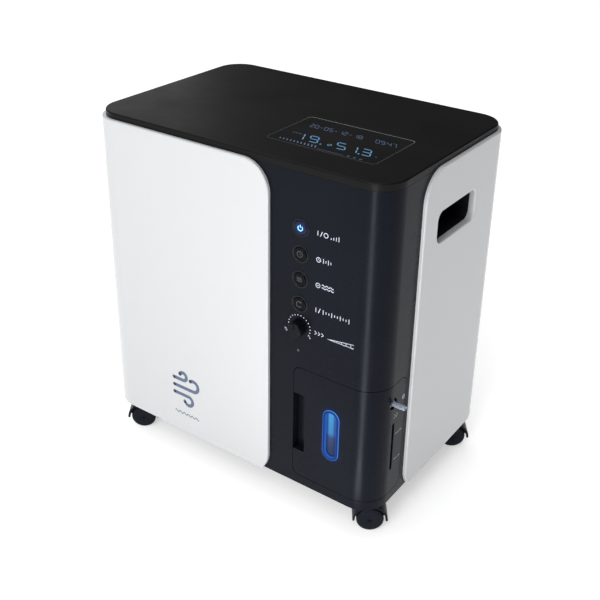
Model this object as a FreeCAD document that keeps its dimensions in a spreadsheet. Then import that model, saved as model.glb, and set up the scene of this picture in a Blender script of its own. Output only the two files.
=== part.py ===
"""Home oxygen concentrator: a 1 to 5 litre cabinet unit on four twin-wheel casters.

Frame: millimetres, +Z up, -Y is the front. The origin is on the floor, below the middle of the whole
outline. Side to side, sizes are counted from the cabinet's own middle, which lies mid_x from the origin
because the oxygen outlet sticks out on the right.
"""

import FreeCAD, Part
import math
import os
import re

import Sketcher
from FreeCAD import Placement, Rotation, Vector

# ---------------------------------------------------------------------------------------------------
# Driving dimensions
# ---------------------------------------------------------------------------------------------------

DIMS = {
    # cabinet
    "mid_x": -5.0,
    "core_wide": 368.0,
    "core_deep": 242.0,
    "corner_round": 30.0,
    "base_height": 45.0,
    "top_height": 415.0,
    "lid_thick": 8.0,
    "lid_skin": 3.0,
    "lid_edge": 1.6,
    "wall": 2.5,
    "sink": 0.5,
    "bond": 0.2,
    "fit_gap": 0.02,
    "underlap": 24.0,
    "tray_rim": 8.5,
    "tray_gap": 0.2,
    "tray_floor": 3.0,
    "boss_radius": 9.0,
    "socket_radius": 11.0,
    "socket_drop": 3.5,
    "socket_cap": 1.5,
    "vent_wide": 4.0,
    "vent_long": 60.0,
    "vent_pitch": 12.0,
    "vent_y": -45.0,
    # white covers
    "proud": 4.0,
    "front_split": 52.0,
    "side_split": -59.0,
    "rear_split": 118.0,
    "cover_round": 32.0,
    "cover_dip": 10.0,
    "cover_top": 408.2,
    "cover_edge": 1.4,
    "cover_gap": 0.1,
    "region_meet": 60.0,
    # carrying handles in the two covers
    "grip_y": 8.5,
    "grip_z": 343.5,
    "grip_wide": 81.0,
    "grip_tall": 34.0,
    "grip_round": 9.0,
    "grip_lip": 2.0,
    "grip_lip_deep": 7.0,
    "grip_cup_deep": 36.0,
    # display in the lid
    "display_x": 79.0,
    "display_y": -41.5,
    "display_wide": 127.0,
    "display_deep": 80.0,
    "display_round": 5.0,
    "lens_thick": 1.6,
    "lens_gap": 0.1,
    "lens_ledge": 4.0,
    "lens_air": 1.0,
    "glass_inset": 6.0,
    "glass_thick": 4.0,
    "spacer_inset": 10.0,
    "spacer_thick": 1.2,
    "board_inset": 1.0,
    "plug_long": 24.0,
    "plug_wide": 6.0,
    "plug_tall": 8.0,
    # buttons, knob and lamp on the front
    "button_x": 88.5,
    "button_top_z": 350.7,
    "button_pitch": 27.6,
    "button_radius": 7.4,
    "button_gap": 0.3,
    "button_proud": 1.4,
    "button_travel": 1.5,
    "button_deep": 11.0,
    "key_stem": 2.5,
    "key_flat": 7.0,
    "key_skin": 1.2,
    "key_skirt": 5.5,
    "key_bevel": 0.8,
    "key_dish": 4.5,
    "key_dish_deep": 0.5,
    "key_board_wide": 30.0,
    "key_board_margin": 13.0,
    "switch_wide": 6.0,
    "switch_thick": 1.6,
    "board_thick": 1.6,
    "bezel_radius": 9.6,
    "bezel_proud": 0.6,
    "bezel_lip": 0.6,
    "bezel_deep": 9.0,
    "bezel_bevel": 0.3,
    "sleeve_gap": 0.1,
    "knob_z": 241.7,
    "knob_radius": 8.6,
    "knob_high": 9.5,
    "knob_gap": 0.4,
    "knob_shaft": 3.0,
    "knob_reach": 12.0,
    "knob_hole": 4.0,
    "knob_skirt": 1.5,
    "knob_recess": 1.0,
    "knob_taper": 0.7,
    "knob_bevel": 1.0,
    "flute_radius": 0.9,
    "flute_out": 0.35,
    "flute_start": 1.6,
    "line_wide": 1.0,
    "line_deep": 0.6,
    "line_start": 1.5,
    "line_margin": 2.0,
    "valve_side": 22.0,
    "valve_long": 26.0,
    "valve_stand": 1.0,
    "valve_nut": 7.0,
    "valve_nut_long": 3.0,
    "valve_tail": 12.0,
    "valve_tail_x": 6.0,
    "tail_radius": 3.0,
    "lamp_x": 87.6,
    "lamp_z": 213.7,
    "lamp_radius": 1.5,
    "lamp_flange": 2.4,
    "lamp_flange_thick": 2.0,
    "lamp_dome": 0.4,
    # humidifier drawer
    "drawer_left": 82.5,
    "drawer_low": 56.0,
    "drawer_high": 194.0,
    "drawer_back": -66.0,
    "drawer_round": 9.0,
    "drawer_gap": 0.5,
    "drawer_skin": 3.0,
    "flange_thick": 2.0,
    "flange_deep": 11.5,
    "flange_side_sink": 0.3,
    "window_x": 130.5,
    "window_z": 126.7,
    "window_wide": 19.7,
    "window_tall": 62.0,
    "window_ring": 3.3,
    "window_lip": 1.0,
    "window_gap": 0.05,
    "window_proud": 1.2,
    "dish_deep": 1.5,
    "slot_slack": 0.05,
    "slit_y": -87.5,
    "slit_z": 116.0,
    "slit_wide": 4.4,
    "slit_tall": 59.0,
    "level_thick": 1.5,
    "level_margin": 2.0,
    "level_gap": 0.1,
    "pocket_deep": 9.0,
    "pocket_wide": 14.5,
    "pocket_low": 89.5,
    "pocket_high": 161.0,
    "pocket_wall": 2.5,
    "pocket_floor": 2.0,
    # oxygen outlet
    "nozzle_y": -90.0,
    "nozzle_z": 171.0,
    "nozzle_tip": 198.0,
    "nozzle_radius": 3.0,
    "nozzle_bore": 1.6,
    "nozzle_hole": 6.5,
    "nozzle_root": 8.0,
    "collar_at": 10.0,
    "collar_thick": 3.0,
    "collar_out": 2.0,
    "barb_start": 5.0,
    "barb_crest": 4.0,
    "barb_slope": 3.2,
    "barb_neck": 0.5,
    "barb_tip": 0.6,
    # water tank in the drawer
    "tank_left": 104.0,
    "tank_right": 177.0,
    "tank_front": -114.0,
    "tank_back": -36.0,
    "tank_low": 63.0,
    "tank_high": 160.0,
    "tank_round": 20.0,
    "tank_wall": 2.0,
    "tank_lid_grow": 0.5,
    "tank_lid_thick": 3.0,
    "rim_gap": 0.05,
    "rim_deep": 4.0,
    "dome_radius": 16.0,
    "dome_high": 17.0,
    "dome_shift": 6.0,
    "tunnel_radius": 5.5,
    "passage_long": 22.0,
    "passage_in": 20.0,
    "drop_radius": 2.5,
    "drop_long": 30.0,
    "drop_in": 21.0,
    # drop tube and its dock
    "dip_in": 26.0,
    "dip_y": -58.0,
    "dip_radius": 3.0,
    "dip_pad": 8.0,
    "dip_pad_high": 6.0,
    "frit_radius": 6.0,
    "frit_long": 14.0,
    "frit_low": 6.0,
    "arm_high": 15.0,
    "dock_reach": 7.0,
    "dock_radius": 6.0,
    "dock_long": 6.0,
    "dock_in": 4.0,
    "dock_tail_radius": 4.2,
    "dock_tail_long": 16.0,
    # carriage and housing of the drawer
    "carriage_left": 4.0,
    "carriage_right": 1.0,
    "carriage_back": 3.0,
    "carriage_thick": 2.0,
    "carriage_high": 40.0,
    "corner_wide": 24.0,
    "corner_deep": 26.0,
    "runner_wide": 4.0,
    "runner_tall": 2.5,
    "runner_front": 18.0,
    "runner_short": 20.0,
    "runner_left": 6.0,
    "runner_right": 14.0,
    "bay_left": 2.5,
    "bay_right": 1.5,
    "bay_front": 14.0,
    "bay_back": 9.0,
    "bay_low": 7.0,
    "bay_high": 1.5,
    "bay_thick": 2.0,
    "bay_leg": 5.0,
    "bay_leg_in": 10.0,
    "bay_limit": 0.6,
    # casters
    "caster_x_front": 155.0,
    "caster_x_rear": 160.0,
    "caster_y": 92.0,
    "wheel_radius": 15.0,
    "wheel_wide": 8.6,
    "wheel_gap": 3.2,
    "wheel_trail": 9.0,
    "axle_radius": 2.0,
    "stem_radius": 4.0,
    "running_gap": 0.05,
    "hood_inner": 16.8,
    "hood_outer": 19.2,
    "hood_spine": 0.5,
    "hood_hem": 1.0,
    "web_gap": 0.3,
    "eye_radius": 5.0,
    "neck_radius": 8.0,
    "neck_low": 30.5,
    "neck_short": 4.0,
    "stem_low": 32.0,
    "stem_short": 3.0,
    "axle_short": 1.5,
    "tread_round": 0.8,
    "shoulder_drop": 2.2,
    "shoulder_in": 1.4,
    "cap_drop": 0.6,
    "cap_in": 5.0,
    "hub_radius": 5.0,
    "hub_slope": 1.0,
    "hub_deep": 0.7,
    # compressor
    "pump_x": -68.0,
    "pump_y": -14.0,
    "pump_z": 118.0,
    "motor_radius": 38.0,
    "motor_long": 92.0,
    "crank_wide": 26.0,
    "shaft_radius": 5.0,
    "crank_lap": 2.0,
    "crank_narrow": 8.0,
    "crank_taller": 4.0,
    "plate_margin": 12.0,
    "plate_ends": 3.0,
    "plate_thick": 3.0,
    "foot_x": 54.0,
    "foot_long": 60.0,
    "foot_tall": 10.0,
    "motor_skin": 10.0,
    "motor_end": 6.0,
    "rotor_gap": 1.0,
    "rotor_end": 4.0,
    "slot_wide": 5.0,
    "slot_long": 40.0,
    "slot_deep": 9.0,
    "slot_pitch": 12.0,
    "barrel_radius": 11.0,
    "barrel_tall": 26.0,
    "head_wide": 24.0,
    "head_long": 52.0,
    "head_thick": 6.0,
    "head_up": 28.0,
    "port_tall": 12.0,
    "port_up": 32.0,
    "fin_long": 48.0,
    "fin_thick": 1.6,
    "fin_low": 7.0,
    "fin_pitch": 4.4,
    "shaft_out": 9.0,
    "blade_wide": 5.0,
    "blade_thick": 1.6,
    "blade_long": 30.0,
    "blade_hub": 9.0,
    "mount_x": 66.0,
    "mount_y": 40.0,
    "mount_radius": 9.0,
    "mount_waist": 6.5,
    "mount_flare": 4.0,
    # molecular sieve beds and the oxygen store
    "bed_x": 73.0,
    "bed_pitch": 62.0,
    "bed_y": 62.0,
    "bed_radius": 27.0,
    "bed_low": 50.0,
    "bed_high": 300.0,
    "bed_cap": 1.5,
    "bed_cap_tall": 12.0,
    "bed_port": 6.0,
    "store_x": 152.5,
    "store_y": 61.0,
    "store_radius": 19.0,
    "store_high": 262.0,
    "store_round": 4.0,
    "store_port": 3.0,
    "store_port_tall": 10.0,
    # valve manifold over the beds
    "manifold_end": 20.0,
    "manifold_deep": 30.0,
    "manifold_tall": 18.0,
    "manifold_tail": 12.0,
    "tail_pitch": 20.0,
    "tail_first": 30.0,
    "coil_radius": 9.0,
    "coil_tall": 24.0,
    "coil_up": 28.0,
    "coil_pitch": 25.0,
    "coil_foot_wide": 20.0,
    "coil_foot_deep": 24.0,
    "coil_foot_tall": 4.0,
    # hoses
    "hose_inside": 3.02,
    "dock_hose_inside": 4.22,
    "hose_wall": 1.5,
    "hose_slip": 4.0,
    # rear panel, fan and intake filter
    "rear_wide": 284.0,
    "screw_edge": 8.0,
    "screw_end": 12.0,
    "screw_hole": 1.6,
    "screw_shank": 1.5,
    "screw_long": 8.0,
    "screw_head": 3.5,
    "screw_flat": 2.6,
    "screw_rim": 0.8,
    "screw_slope": 1.8,
    "screw_high": 2.0,
    "grille_low": 41.0,
    "grille_pitch": 7.5,
    "grille_slot": 4.0,
    "louvre_x": 35.0,
    "louvre_z": 200.0,
    "louvre_long": 70.0,
    "louvre_tall": 3.0,
    "louvre_pitch": 9.0,
    "fan_x": -68.0,
    "fan_z": 124.0,
    "fan_side": 92.0,
    "fan_thick": 25.0,
    "fan_bore": 43.0,
    "fan_motor": 17.0,
    "fan_motor_thick": 8.0,
    "fan_arm": 4.0,
    "fan_arm_wide": 5.0,
    "fan_pin": 2.0,
    "fan_pin_long": 20.0,
    "fan_pin_hole": 12.0,
    "fan_hub": 16.0,
    "fan_hub_thick": 14.0,
    "vane_thick": 1.8,
    "vane_deep": 20.0,
    "vane_long": 27.0,
    "vane_root": 14.5,
    "vane_sweep": 16.0,
    "vane_gap": 1.0,
    "filter_x": -50.0,
    "filter_z": 292.0,
    "filter_side": 112.0,
    "filter_proud": 8.0,
    "filter_seat": 7.0,
    "filter_round": 8.0,
    "filter_skin": 2.5,
    "filter_in": 3.0,
    "filter_gap": 0.1,
    "filter_slots": 41.0,
    "filter_slot": 4.0,
    "filter_slot_end": 15.0,
    "filter_pitch": 8.5,
    "foam_inset": 7.5,
    "foam_thick": 10.0,
    "foam_in": 8.0,
    "inlet_x": 70.0,
    "inlet_z": 82.0,
    "inlet_wide": 27.0,
    "inlet_tall": 20.0,
    "inlet_long": 21.0,
    "inlet_gap": 0.2,
    "inlet_flange_wide": 50.0,
    "inlet_flange_tall": 24.0,
    "inlet_flange": 2.0,
    "inlet_space_wide": 24.0,
    "inlet_space_tall": 17.5,
    "inlet_space_deep": 15.0,
    "pin_wide": 2.0,
    "pin_tall": 4.0,
    "pin_long": 16.0,
    # steel shelf over the compressor
    "shelf_z": 212.0,
    "shelf_left": -172.0,
    "shelf_right": 6.0,
    "shelf_deep": 216.0,
    "sheet_steel": 1.5,
    "hem_tall": 12.0,
    "leg_wide": 14.0,
    "leg_foot": 6.0,
    "hose_slot_wide": 26.0,
    "hose_slot_deep": 40.0,
    "hose_slot_in": 30.0,
    "hose_slot_y": -34.0,
    # main board on the shelf
    "main_x": -160.0,
    "main_y": -95.0,
    "main_wide": 130.0,
    "main_deep": 100.0,
    "main_stand": 8.0,
    "main_foot": 3.0,
    "main_foot_in": 6.0,
    "capacitor_radius": 11.0,
    "capacitor_tall": 32.0,
}

doc = FreeCAD.newDocument("oxygen_concentrator")
sheet = doc.addObject("Spreadsheet::Sheet", "Dims")
for row, (alias, value) in enumerate(DIMS.items(), start=1):
    sheet.set(f"A{row}", alias)
    sheet.set(f"B{row}", str(value))
    sheet.setAlias(f"B{row}", alias)
doc.recompute()

ALIASES = re.compile(r"\b(" + "|".join(DIMS) + r")\b")
subparts = []


def bind(thing, prop, formula):
    """Ties a property to a formula in the sheet's names."""
    thing.setExpression(prop, ALIASES.sub(r"Dims.\1", str(formula)))


def dim(formula):
    """The present value of a formula in the sheet's names."""
    numbers = ALIASES.sub(lambda found: f"({DIMS[found.group(1)]})", str(formula))
    return FreeCAD.Units.Quantity(numbers).Value


# ---------------------------------------------------------------------------------------------------
# Small builders
# ---------------------------------------------------------------------------------------------------

TURNS = {
    "+z": Rotation(),
    "-z": Rotation(Vector(1, 0, 0), 180),
    "+x": Rotation(Vector(0, 1, 0), 90),
    "-x": Rotation(Vector(0, 1, 0), -90),
    "+y": Rotation(Vector(1, 0, 0), -90),
    "-y": Rotation(Vector(1, 0, 0), 90),
}


def put(thing, at, turn=None, local=False):
    """Places a thing at three formulas; x is counted from the cabinet's middle unless it is local."""
    if turn is not None:
        thing.Placement = Placement(Vector(), turn)
    x, y, z = at
    bind(thing, "Placement.Base.x", x if local else f"mid_x + ({x})")
    bind(thing, "Placement.Base.y", y)
    bind(thing, "Placement.Base.z", z)
    return thing


def box(name, size, at, turn=None, local=False):
    """A block of size (x, y, z) with its lowest corner at a point."""
    solid = doc.addObject("Part::Box", name)
    for prop, formula in zip(("Length", "Width", "Height"), size):
        bind(solid, prop, formula)
    return put(solid, at, turn, local)


def rod(name, radius, length, at, along="+z", local=False):
    """A cylinder that starts at a point and runs along an axis."""
    solid = doc.addObject("Part::Cylinder", name)
    bind(solid, "Radius", radius)
    bind(solid, "Height", length)
    return put(solid, at, TURNS[along], local)


def fuse(name, *shapes):
    joined = doc.addObject("Part::MultiFuse", name)
    joined.Shapes = list(shapes)
    return joined


def cut(name, base, *tools):
    result = doc.addObject("Part::Cut", name)
    result.Base = base
    result.Tool = tools[0] if len(tools) == 1 else fuse(name + "_tools", *tools)
    return result


def common(name, base, tool):
    result = doc.addObject("Part::Common", name)
    result.Base = base
    result.Tool = tool
    return result


def group(name, *shapes):
    """Separate solids of one kind that share a node."""
    result = doc.addObject("Part::Compound", name)
    result.Links = list(shapes)
    return result


def keep(label, thing):
    """Marks a thing as a finished sub-part and names it."""
    thing.Label = label
    subparts.append(thing)
    return thing


def outline(sketch, wide, tall, radius):
    """Draws a round-cornered rectangle about the sketch's origin, held by named constraints."""
    w, h, r = dim(wide) / 2, dim(tall) / 2, dim(radius)
    quarter = math.pi / 2
    corners = [(w - r, -h + r, 3), (w - r, h - r, 0), (-w + r, h - r, 1), (-w + r, -h + r, 2)]
    sides = [
        ((-w + r, -h), (w - r, -h)),
        ((w, -h + r), (w, h - r)),
        ((w - r, h), (-w + r, h)),
        ((-w, h - r), (-w, -h + r)),
    ]
    for (start, end), (cx, cy, turn) in zip(sides, corners):
        sketch.addGeometry(Part.LineSegment(Vector(*start, 0), Vector(*end, 0)))
        circle = Part.Circle(Vector(cx, cy, 0), Vector(0, 0, 1), r)
        sketch.addGeometry(Part.ArcOfCircle(circle, turn * quarter, (turn + 1) * quarter))
    for item in range(8):
        sketch.addConstraint(Sketcher.Constraint("Tangent", item, 2, (item + 1) % 8, 1))
    for line, kind in ((0, "Horizontal"), (2, "Vertical"), (4, "Horizontal"), (6, "Vertical")):
        sketch.addConstraint(Sketcher.Constraint(kind, line))
    for arc in (3, 5, 7):
        sketch.addConstraint(Sketcher.Constraint("Equal", 1, arc))
    sketch.addConstraint(Sketcher.Constraint("Symmetric", 1, 3, 5, 3, -1, 1))
    sizes = (
        ("wide", wide, Sketcher.Constraint("DistanceX", 6, 1, 2, 1, 2 * w)),
        ("tall", tall, Sketcher.Constraint("DistanceY", 0, 1, 4, 1, 2 * h)),
        ("corner", radius, Sketcher.Constraint("Radius", 1, r)),
    )
    for label, formula, constraint in sizes:
        number = sketch.addConstraint(constraint)
        sketch.renameConstraint(number, label)
        bind(sketch, f"Constraints.{label}", formula)


PLANES = {
    "xy": Rotation(),
    "xz": Rotation(Vector(1, 0, 0), 90),
    "yz": Rotation(Vector(1, 1, 1), 120),
}
NORMALS = {"xy": Vector(0, 0, 1), "xz": Vector(0, 1, 0), "yz": Vector(1, 0, 0)}


def bar(name, plane, wide, tall, radius, middle, length):
    """A straight bar with a round-cornered section, run along +Z, +Y or +X from its middle point."""
    sketch = doc.addObject("Sketcher::SketchObject", name + "_section")
    outline(sketch, wide, tall, radius)
    put(sketch, middle, PLANES[plane])
    solid = doc.addObject("Part::Extrusion", name)
    solid.Base = sketch
    solid.DirMode = "Custom"
    solid.Dir = NORMALS[plane]
    solid.Solid = True
    bind(solid, "LengthFwd", length)
    return solid


def body_sketch(body, name, role, level="0", right="0", up="0"):
    """A sketch on one of a body's own origin planes, shifted in that plane and raised along its normal."""
    sketch = body.newObject("Sketcher::SketchObject", name)
    plane = next(item for item in body.Origin.OriginFeatures if item.Role == role)
    sketch.AttachmentSupport = [(plane, "")]
    sketch.MapMode = "FlatFace"
    for axis, formula in zip("xyz", (right, up, level)):
        bind(sketch, f"AttachmentOffset.Base.{axis}", formula)
    return sketch


def padded(body, name, sketch, length, down=False):
    pad = body.newObject("PartDesign::Pad", name)
    pad.Profile = sketch
    pad.Reversed = down
    bind(pad, "Length", length)
    return pad


def pocketed(body, name, sketch, depth, up=False):
    pocket = body.newObject("PartDesign::Pocket", name)
    pocket.Profile = sketch
    pocket.Reversed = up
    bind(pocket, "Length", depth)
    return pocket


def turned(label, points, role="XZ_Plane"):
    """A body turned about its own Z axis from a closed outline of (radius, height) formulas."""
    body = doc.addObject("PartDesign::Body", label)
    sketch = body_sketch(body, label + "_outline", role)
    values = [(dim(r), dim(z)) for r, z in points]
    count = len(points)
    for number in range(count):
        start, end = values[number], values[(number + 1) % count]
        sketch.addGeometry(Part.LineSegment(Vector(*start, 0), Vector(*end, 0)))
    for number in range(count):
        sketch.addConstraint(Sketcher.Constraint("Coincident", number, 2, (number + 1) % count, 1))
    for number, (radius, height) in enumerate(points):
        for kind, formula, value in (("X", radius, values[number][0]), ("Y", height, values[number][1])):
            if abs(value) < 1e-9:
                target = -2 if kind == "X" else -1
                sketch.addConstraint(Sketcher.Constraint("PointOnObject", number, 1, target))
                continue
            constraint = Sketcher.Constraint(f"Distance{kind}", -1, 1, number, 1, value)
            index = sketch.addConstraint(constraint)
            sketch.renameConstraint(index, f"p{number}{kind.lower()}")
            bind(sketch, f"Constraints.p{number}{kind.lower()}", formula)
    spin = body.newObject("PartDesign::Revolution", label + "_spin")
    spin.Profile = sketch
    spin.ReferenceAxis = (sketch, ["V_Axis"])
    spin.Angle = 360.0
    return body


# ---------------------------------------------------------------------------------------------------
# Cabinet
# ---------------------------------------------------------------------------------------------------

FAR = "400"
THROUGH = "20"
OVER = "5"
BELOW = "-100"
FRONT = "-core_deep / 2"
BACK = "core_deep / 2"
RIGHT = "core_wide / 2"
OUTER_X = "core_wide / 2 + proud"
PANEL_TOP = "top_height - lid_thick"
NEAR = 0.01
SEAM_LENGTH = 300.0


def outline_bar(name, grow, low, high):
    """The cabinet's plan outline, grown by a distance, between two heights."""
    return bar(
        name,
        "xy",
        f"core_wide + 2 * ({grow})",
        f"core_deep + 2 * ({grow})",
        f"corner_round + ({grow})",
        ("0", "0", low),
        f"({high}) - ({low})",
    )


def outline_wall(name, outer, inner, low, high):
    """A wall that follows the cabinet's outline between two offsets from it."""
    solid = outline_bar(name + "_outer", outer, low, high)
    hollow = outline_bar(name + "_inner", inner, f"({low}) - {OVER}", f"({high}) + {OVER}")
    return cut(name + "_wall", solid, hollow)


def front_patch(name, left, right, low, high, radius, near, far):
    """A round-cornered patch of the front or rear view, as a block from y near to y far."""
    middle = (f"(({left}) + ({right})) / 2", near, f"(({low}) + ({high})) / 2")
    wide, tall = f"({right}) - ({left})", f"({high}) - ({low})"
    return bar(name, "xz", wide, tall, radius, middle, f"({far}) - ({near})")


def side_patch(name, front, back, low, high, radius, near, far):
    """A round-cornered patch of the side view, as a block from x near to x far."""
    middle = (near, f"(({front}) + ({back})) / 2", f"(({low}) + ({high})) / 2")
    wide, tall = f"({back}) - ({front})", f"({high}) - ({low})"
    return bar(name, "yz", wide, tall, radius, middle, f"({far}) - ({near})")


def make_lid():
    """The flat lid: a hollow plate with a rounded top edge and a stepped hole for the display's lens."""
    body = doc.addObject("PartDesign::Body", "top_lid")
    sketch = body_sketch(body, "lid_outline", "XY_Plane")
    outline(sketch, "core_wide", "core_deep", "corner_round")
    plate = padded(body, "lid_plate", sketch, "lid_thick")
    doc.recompute()
    edge = body.newObject("PartDesign::Fillet", "lid_top_edge")
    level = dim("lid_thick") - NEAR
    top = [n for n, e in enumerate(plate.Shape.Edges, start=1) if e.BoundBox.ZMin > level]
    edge.Base = (plate, [f"Edge{n}" for n in top])
    bind(edge, "Radius", "lid_edge")
    under = body_sketch(body, "lid_hollow_outline", "XY_Plane")
    outline(under, "core_wide - 2 * wall", "core_deep - 2 * wall", "corner_round - wall")
    pocketed(body, "lid_hollow", under, "lid_thick - lid_skin", up=True)
    seat = body_sketch(body, "lens_pocket_outline", "XY_Plane", "lid_thick", "display_x", "display_y")
    outline(seat, "display_wide", "display_deep", "display_round")
    pocketed(body, "lens_pocket", seat, "lens_thick")
    view = body_sketch(body, "display_hole_outline", "XY_Plane", "lid_thick", "display_x", "display_y")
    ledge = "2 * lens_ledge"
    outline(view, f"display_wide - {ledge}", f"display_deep - {ledge}", "display_round - lens_ledge / 2")
    pocketed(body, "display_hole", view, "lid_thick")
    put(body, ("0", "0", PANEL_TOP))
    keep("top_lid", body)


def display_layer(name, inset, thick, z):
    """A sheet of the display module, drawn in from the display's outline on all four sides."""
    size = (f"display_wide - 2 * {inset}", f"display_deep - 2 * {inset}", thick)
    corner = (f"display_x - display_wide / 2 + {inset}", f"display_y - display_deep / 2 + {inset}", z)
    return box(name, size, corner)


def make_display():
    """The tinted lens in the lid, and the display module that hangs below it."""
    lens = bar(
        "display_lens",
        "xy",
        "display_wide - 2 * lens_gap",
        "display_deep - 2 * lens_gap",
        "display_round",
        ("display_x", "display_y", "top_height - lens_thick"),
        "lens_thick",
    )
    keep("display_lens", lens)
    glass_z = "top_height - lens_thick - lens_air - glass_thick"
    spacer_z = f"{glass_z} - spacer_thick + bond"
    board_z = f"{spacer_z} - board_thick + bond"
    layers = [
        display_layer("display_glass", "glass_inset", "glass_thick", glass_z),
        display_layer("display_board", "board_inset", "board_thick", board_z),
        display_layer("display_spacer", "spacer_inset", "spacer_thick", spacer_z),
    ]
    plug_z = f"{board_z} - plug_tall + 2 * bond"
    plug_corner = ("display_x - plug_long / 2", "display_y + plug_long / 2", plug_z)
    plug = box("display_plug", ("plug_long", "plug_wide", "plug_tall"), plug_corner)
    keep("display_module", fuse("display_module", *layers, plug))


def soften(label, base, radius, chosen):
    """Rounds those edges of a shape that pass a test, and keeps the result."""
    doc.recompute()
    numbers = [n for n, edge in enumerate(base.Shape.Edges, start=1) if chosen(edge)]
    rounded = doc.addObject("Part::Fillet", label)
    rounded.Base = base
    rounded.Edges = [(n, dim(radius), dim(radius)) for n in numbers]
    return keep(label, rounded)


def outside(edge):
    """True for an edge that lies on the covers' outer face all along, and isn't a seam between its faces."""
    half_wide = dim(OUTER_X)
    half_deep = dim("core_deep / 2 + proud")
    radius = dim("corner_round + proud")
    upright = edge.BoundBox.ZLength > SEAM_LENGTH and edge.Curve.TypeId == "Part::GeomLine"
    if upright and not on_split(edge.CenterOfMass):
        return False
    for step in range(5):
        first, last = edge.FirstParameter, edge.LastParameter
        spot = edge.valueAt(first + (last - first) * step / 4)
        x, y = abs(spot.x - dim("mid_x")), abs(spot.y)
        corner_x, corner_y = max(x - (half_wide - radius), 0), max(y - (half_deep - radius), 0)
        if corner_x and corner_y:
            off = abs(math.hypot(corner_x, corner_y) - radius)
        else:
            off = min(abs(x - half_wide), abs(y - half_deep))
        if off > 2 * NEAR:
            return False
    return True


def on_split(spot):
    """True where a cover ends at an upright edge, not where a flat meets a round corner."""
    x = spot.x - dim("mid_x")
    splits = [abs(x - dim("front_split")), abs(abs(x) - dim("rear_split")), abs(spot.y - dim("side_split"))]
    return min(splits) < 5 * NEAR


def grip_bar(name, start, length, lip="0"):
    """A bar with the section of a carrying handle's hole, grown by a lip, that starts at a given x."""
    return bar(
        name,
        "yz",
        f"grip_wide + 2 * {lip}",
        f"grip_tall + 2 * {lip}",
        f"grip_round + {lip}",
        (start, "grip_y", "grip_z"),
        length,
    )


def grip_parts(side):
    """The collar and the hole of a carrying handle; side is +1 on the right and -1 on the left."""
    start = f"({OUTER_X}) - grip_lip_deep" if side > 0 else f"-({OUTER_X})"
    collar = grip_bar(f"grip_collar_{side}", start, "grip_lip_deep", "grip_lip")
    start = f"({OUTER_X}) - {THROUGH}" if side > 0 else f"-({OUTER_X}) - {THROUGH}"
    hole = grip_bar(f"grip_hole_{side}", start, f"2 * {THROUGH}")
    return collar, hole


COVER_LOW = "base_height - cover_dip"


def make_left_cover():
    """The white shell round the left of the cabinet, from the front split round to the rear split."""
    wall = outline_wall("left", "proud", "cover_gap", "base_height", "cover_top")
    edges = (COVER_LOW, "cover_top", "cover_round")
    front = front_patch("left_front", f"-{FAR}", "front_split", *edges, f"-{FAR}", "0")
    rear = front_patch("left_rear", f"-{FAR}", "-rear_split", *edges, "0", FAR)
    panel = common("left_panel", wall, fuse("left_region", front, rear))
    collar, hole = grip_parts(-1)
    soften("left_cover", cut("left_cut", fuse("left_sum", panel, collar), hole), "cover_edge", outside)


def make_right_cover():
    """The white shell on the right side, which turns the corner to the rear split."""
    wall = outline_wall("right", "proud", "cover_gap", "base_height", "cover_top")
    edges = (COVER_LOW, "cover_top", "cover_round")
    side = side_patch("right_side", "side_split", FAR, *edges, "0", FAR)
    near = box("right_near", (FAR, f"{FAR} + region_meet", f"2 * {FAR}"), ("0", f"-{FAR}", BELOW))
    rear = front_patch("right_rear", "rear_split", FAR, *edges, "0", FAR)
    panel = common("right_panel", common("right_flank", wall, side), fuse("right_region", near, rear))
    collar, hole = grip_parts(1)
    soften("right_cover", cut("right_cut", fuse("right_sum", panel, collar), hole), "cover_edge", outside)


def make_grip_cup(label, side):
    """The closed cup behind a carrying handle, where the fingers go."""
    mouth = f"{OUTER_X} - grip_lip_deep"
    start = f"({mouth}) - grip_cup_deep" if side > 0 else f"-({mouth})"
    shell = grip_bar(label + "_outer", start, "grip_cup_deep", "grip_lip")
    start = f"({mouth}) - grip_cup_deep + grip_lip" if side > 0 else f"-({mouth}) - grip_lip"
    hollow = grip_bar(label + "_inner", start, "grip_cup_deep")
    keep(label, cut(label, shell, hollow))


def drawer_block(name, gap):
    """The space the drawer's face takes, less a gap all round."""
    edges = (f"drawer_low + {gap}", f"drawer_high - {gap}", "drawer_round")
    back = f"drawer_back - {gap}"
    front = front_patch(name + "_front", f"drawer_left + {gap}", FAR, *edges, f"-{FAR}", back)
    side = side_patch(name + "_side", f"-{FAR}", back, *edges, "region_meet", FAR)
    return common(name, front, side)


def button_z(number):
    return f"button_top_z - {number} * button_pitch"


def make_front_panel():
    """The black core's front and right wall, with the drawer's opening and the flange that lines it."""
    wall = outline_wall("front", "0", "-wall", "base_height", PANEL_TOP)
    size = (FAR, f"{FAR} + side_split + underlap", f"2 * {FAR}")
    region = box("front_region", size, ("front_split - underlap", f"-{FAR}", BELOW))
    strip = common("front_strip", wall, region)
    flange_depth = box(
        "flange_depth",
        (f"{FAR} + {RIGHT} - wall", "flange_deep", FAR),
        (f"-{FAR}", f"{FRONT} + wall - sink", "base_height"),
    )
    flange = common("drawer_flange", drawer_block("drawer_surround", "-flange_thick"), flange_depth)
    inside = outline_bar("flange_limit", "-wall + flange_side_sink", "base_height", PANEL_TOP)
    panel = fuse("front_sum", strip, common("flange_trimmed", flange, inside))
    ahead = f"{FRONT} - {OVER}"
    holes = [drawer_block("drawer_opening", "0")]
    for number in range(4):
        at = ("button_x", ahead, button_z(number))
        holes.append(rod(f"bezel_hole_{number}", "bezel_radius - bezel_lip", THROUGH, at, "+y"))
    holes.append(rod("knob_opening", "knob_hole", THROUGH, ("button_x", ahead, "knob_z"), "+y"))
    holes.append(rod("lamp_hole", "lamp_radius", THROUGH, ("lamp_x", ahead, "lamp_z"), "+y"))
    keep("front_panel", cut("front_panel", panel, *holes))


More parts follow.
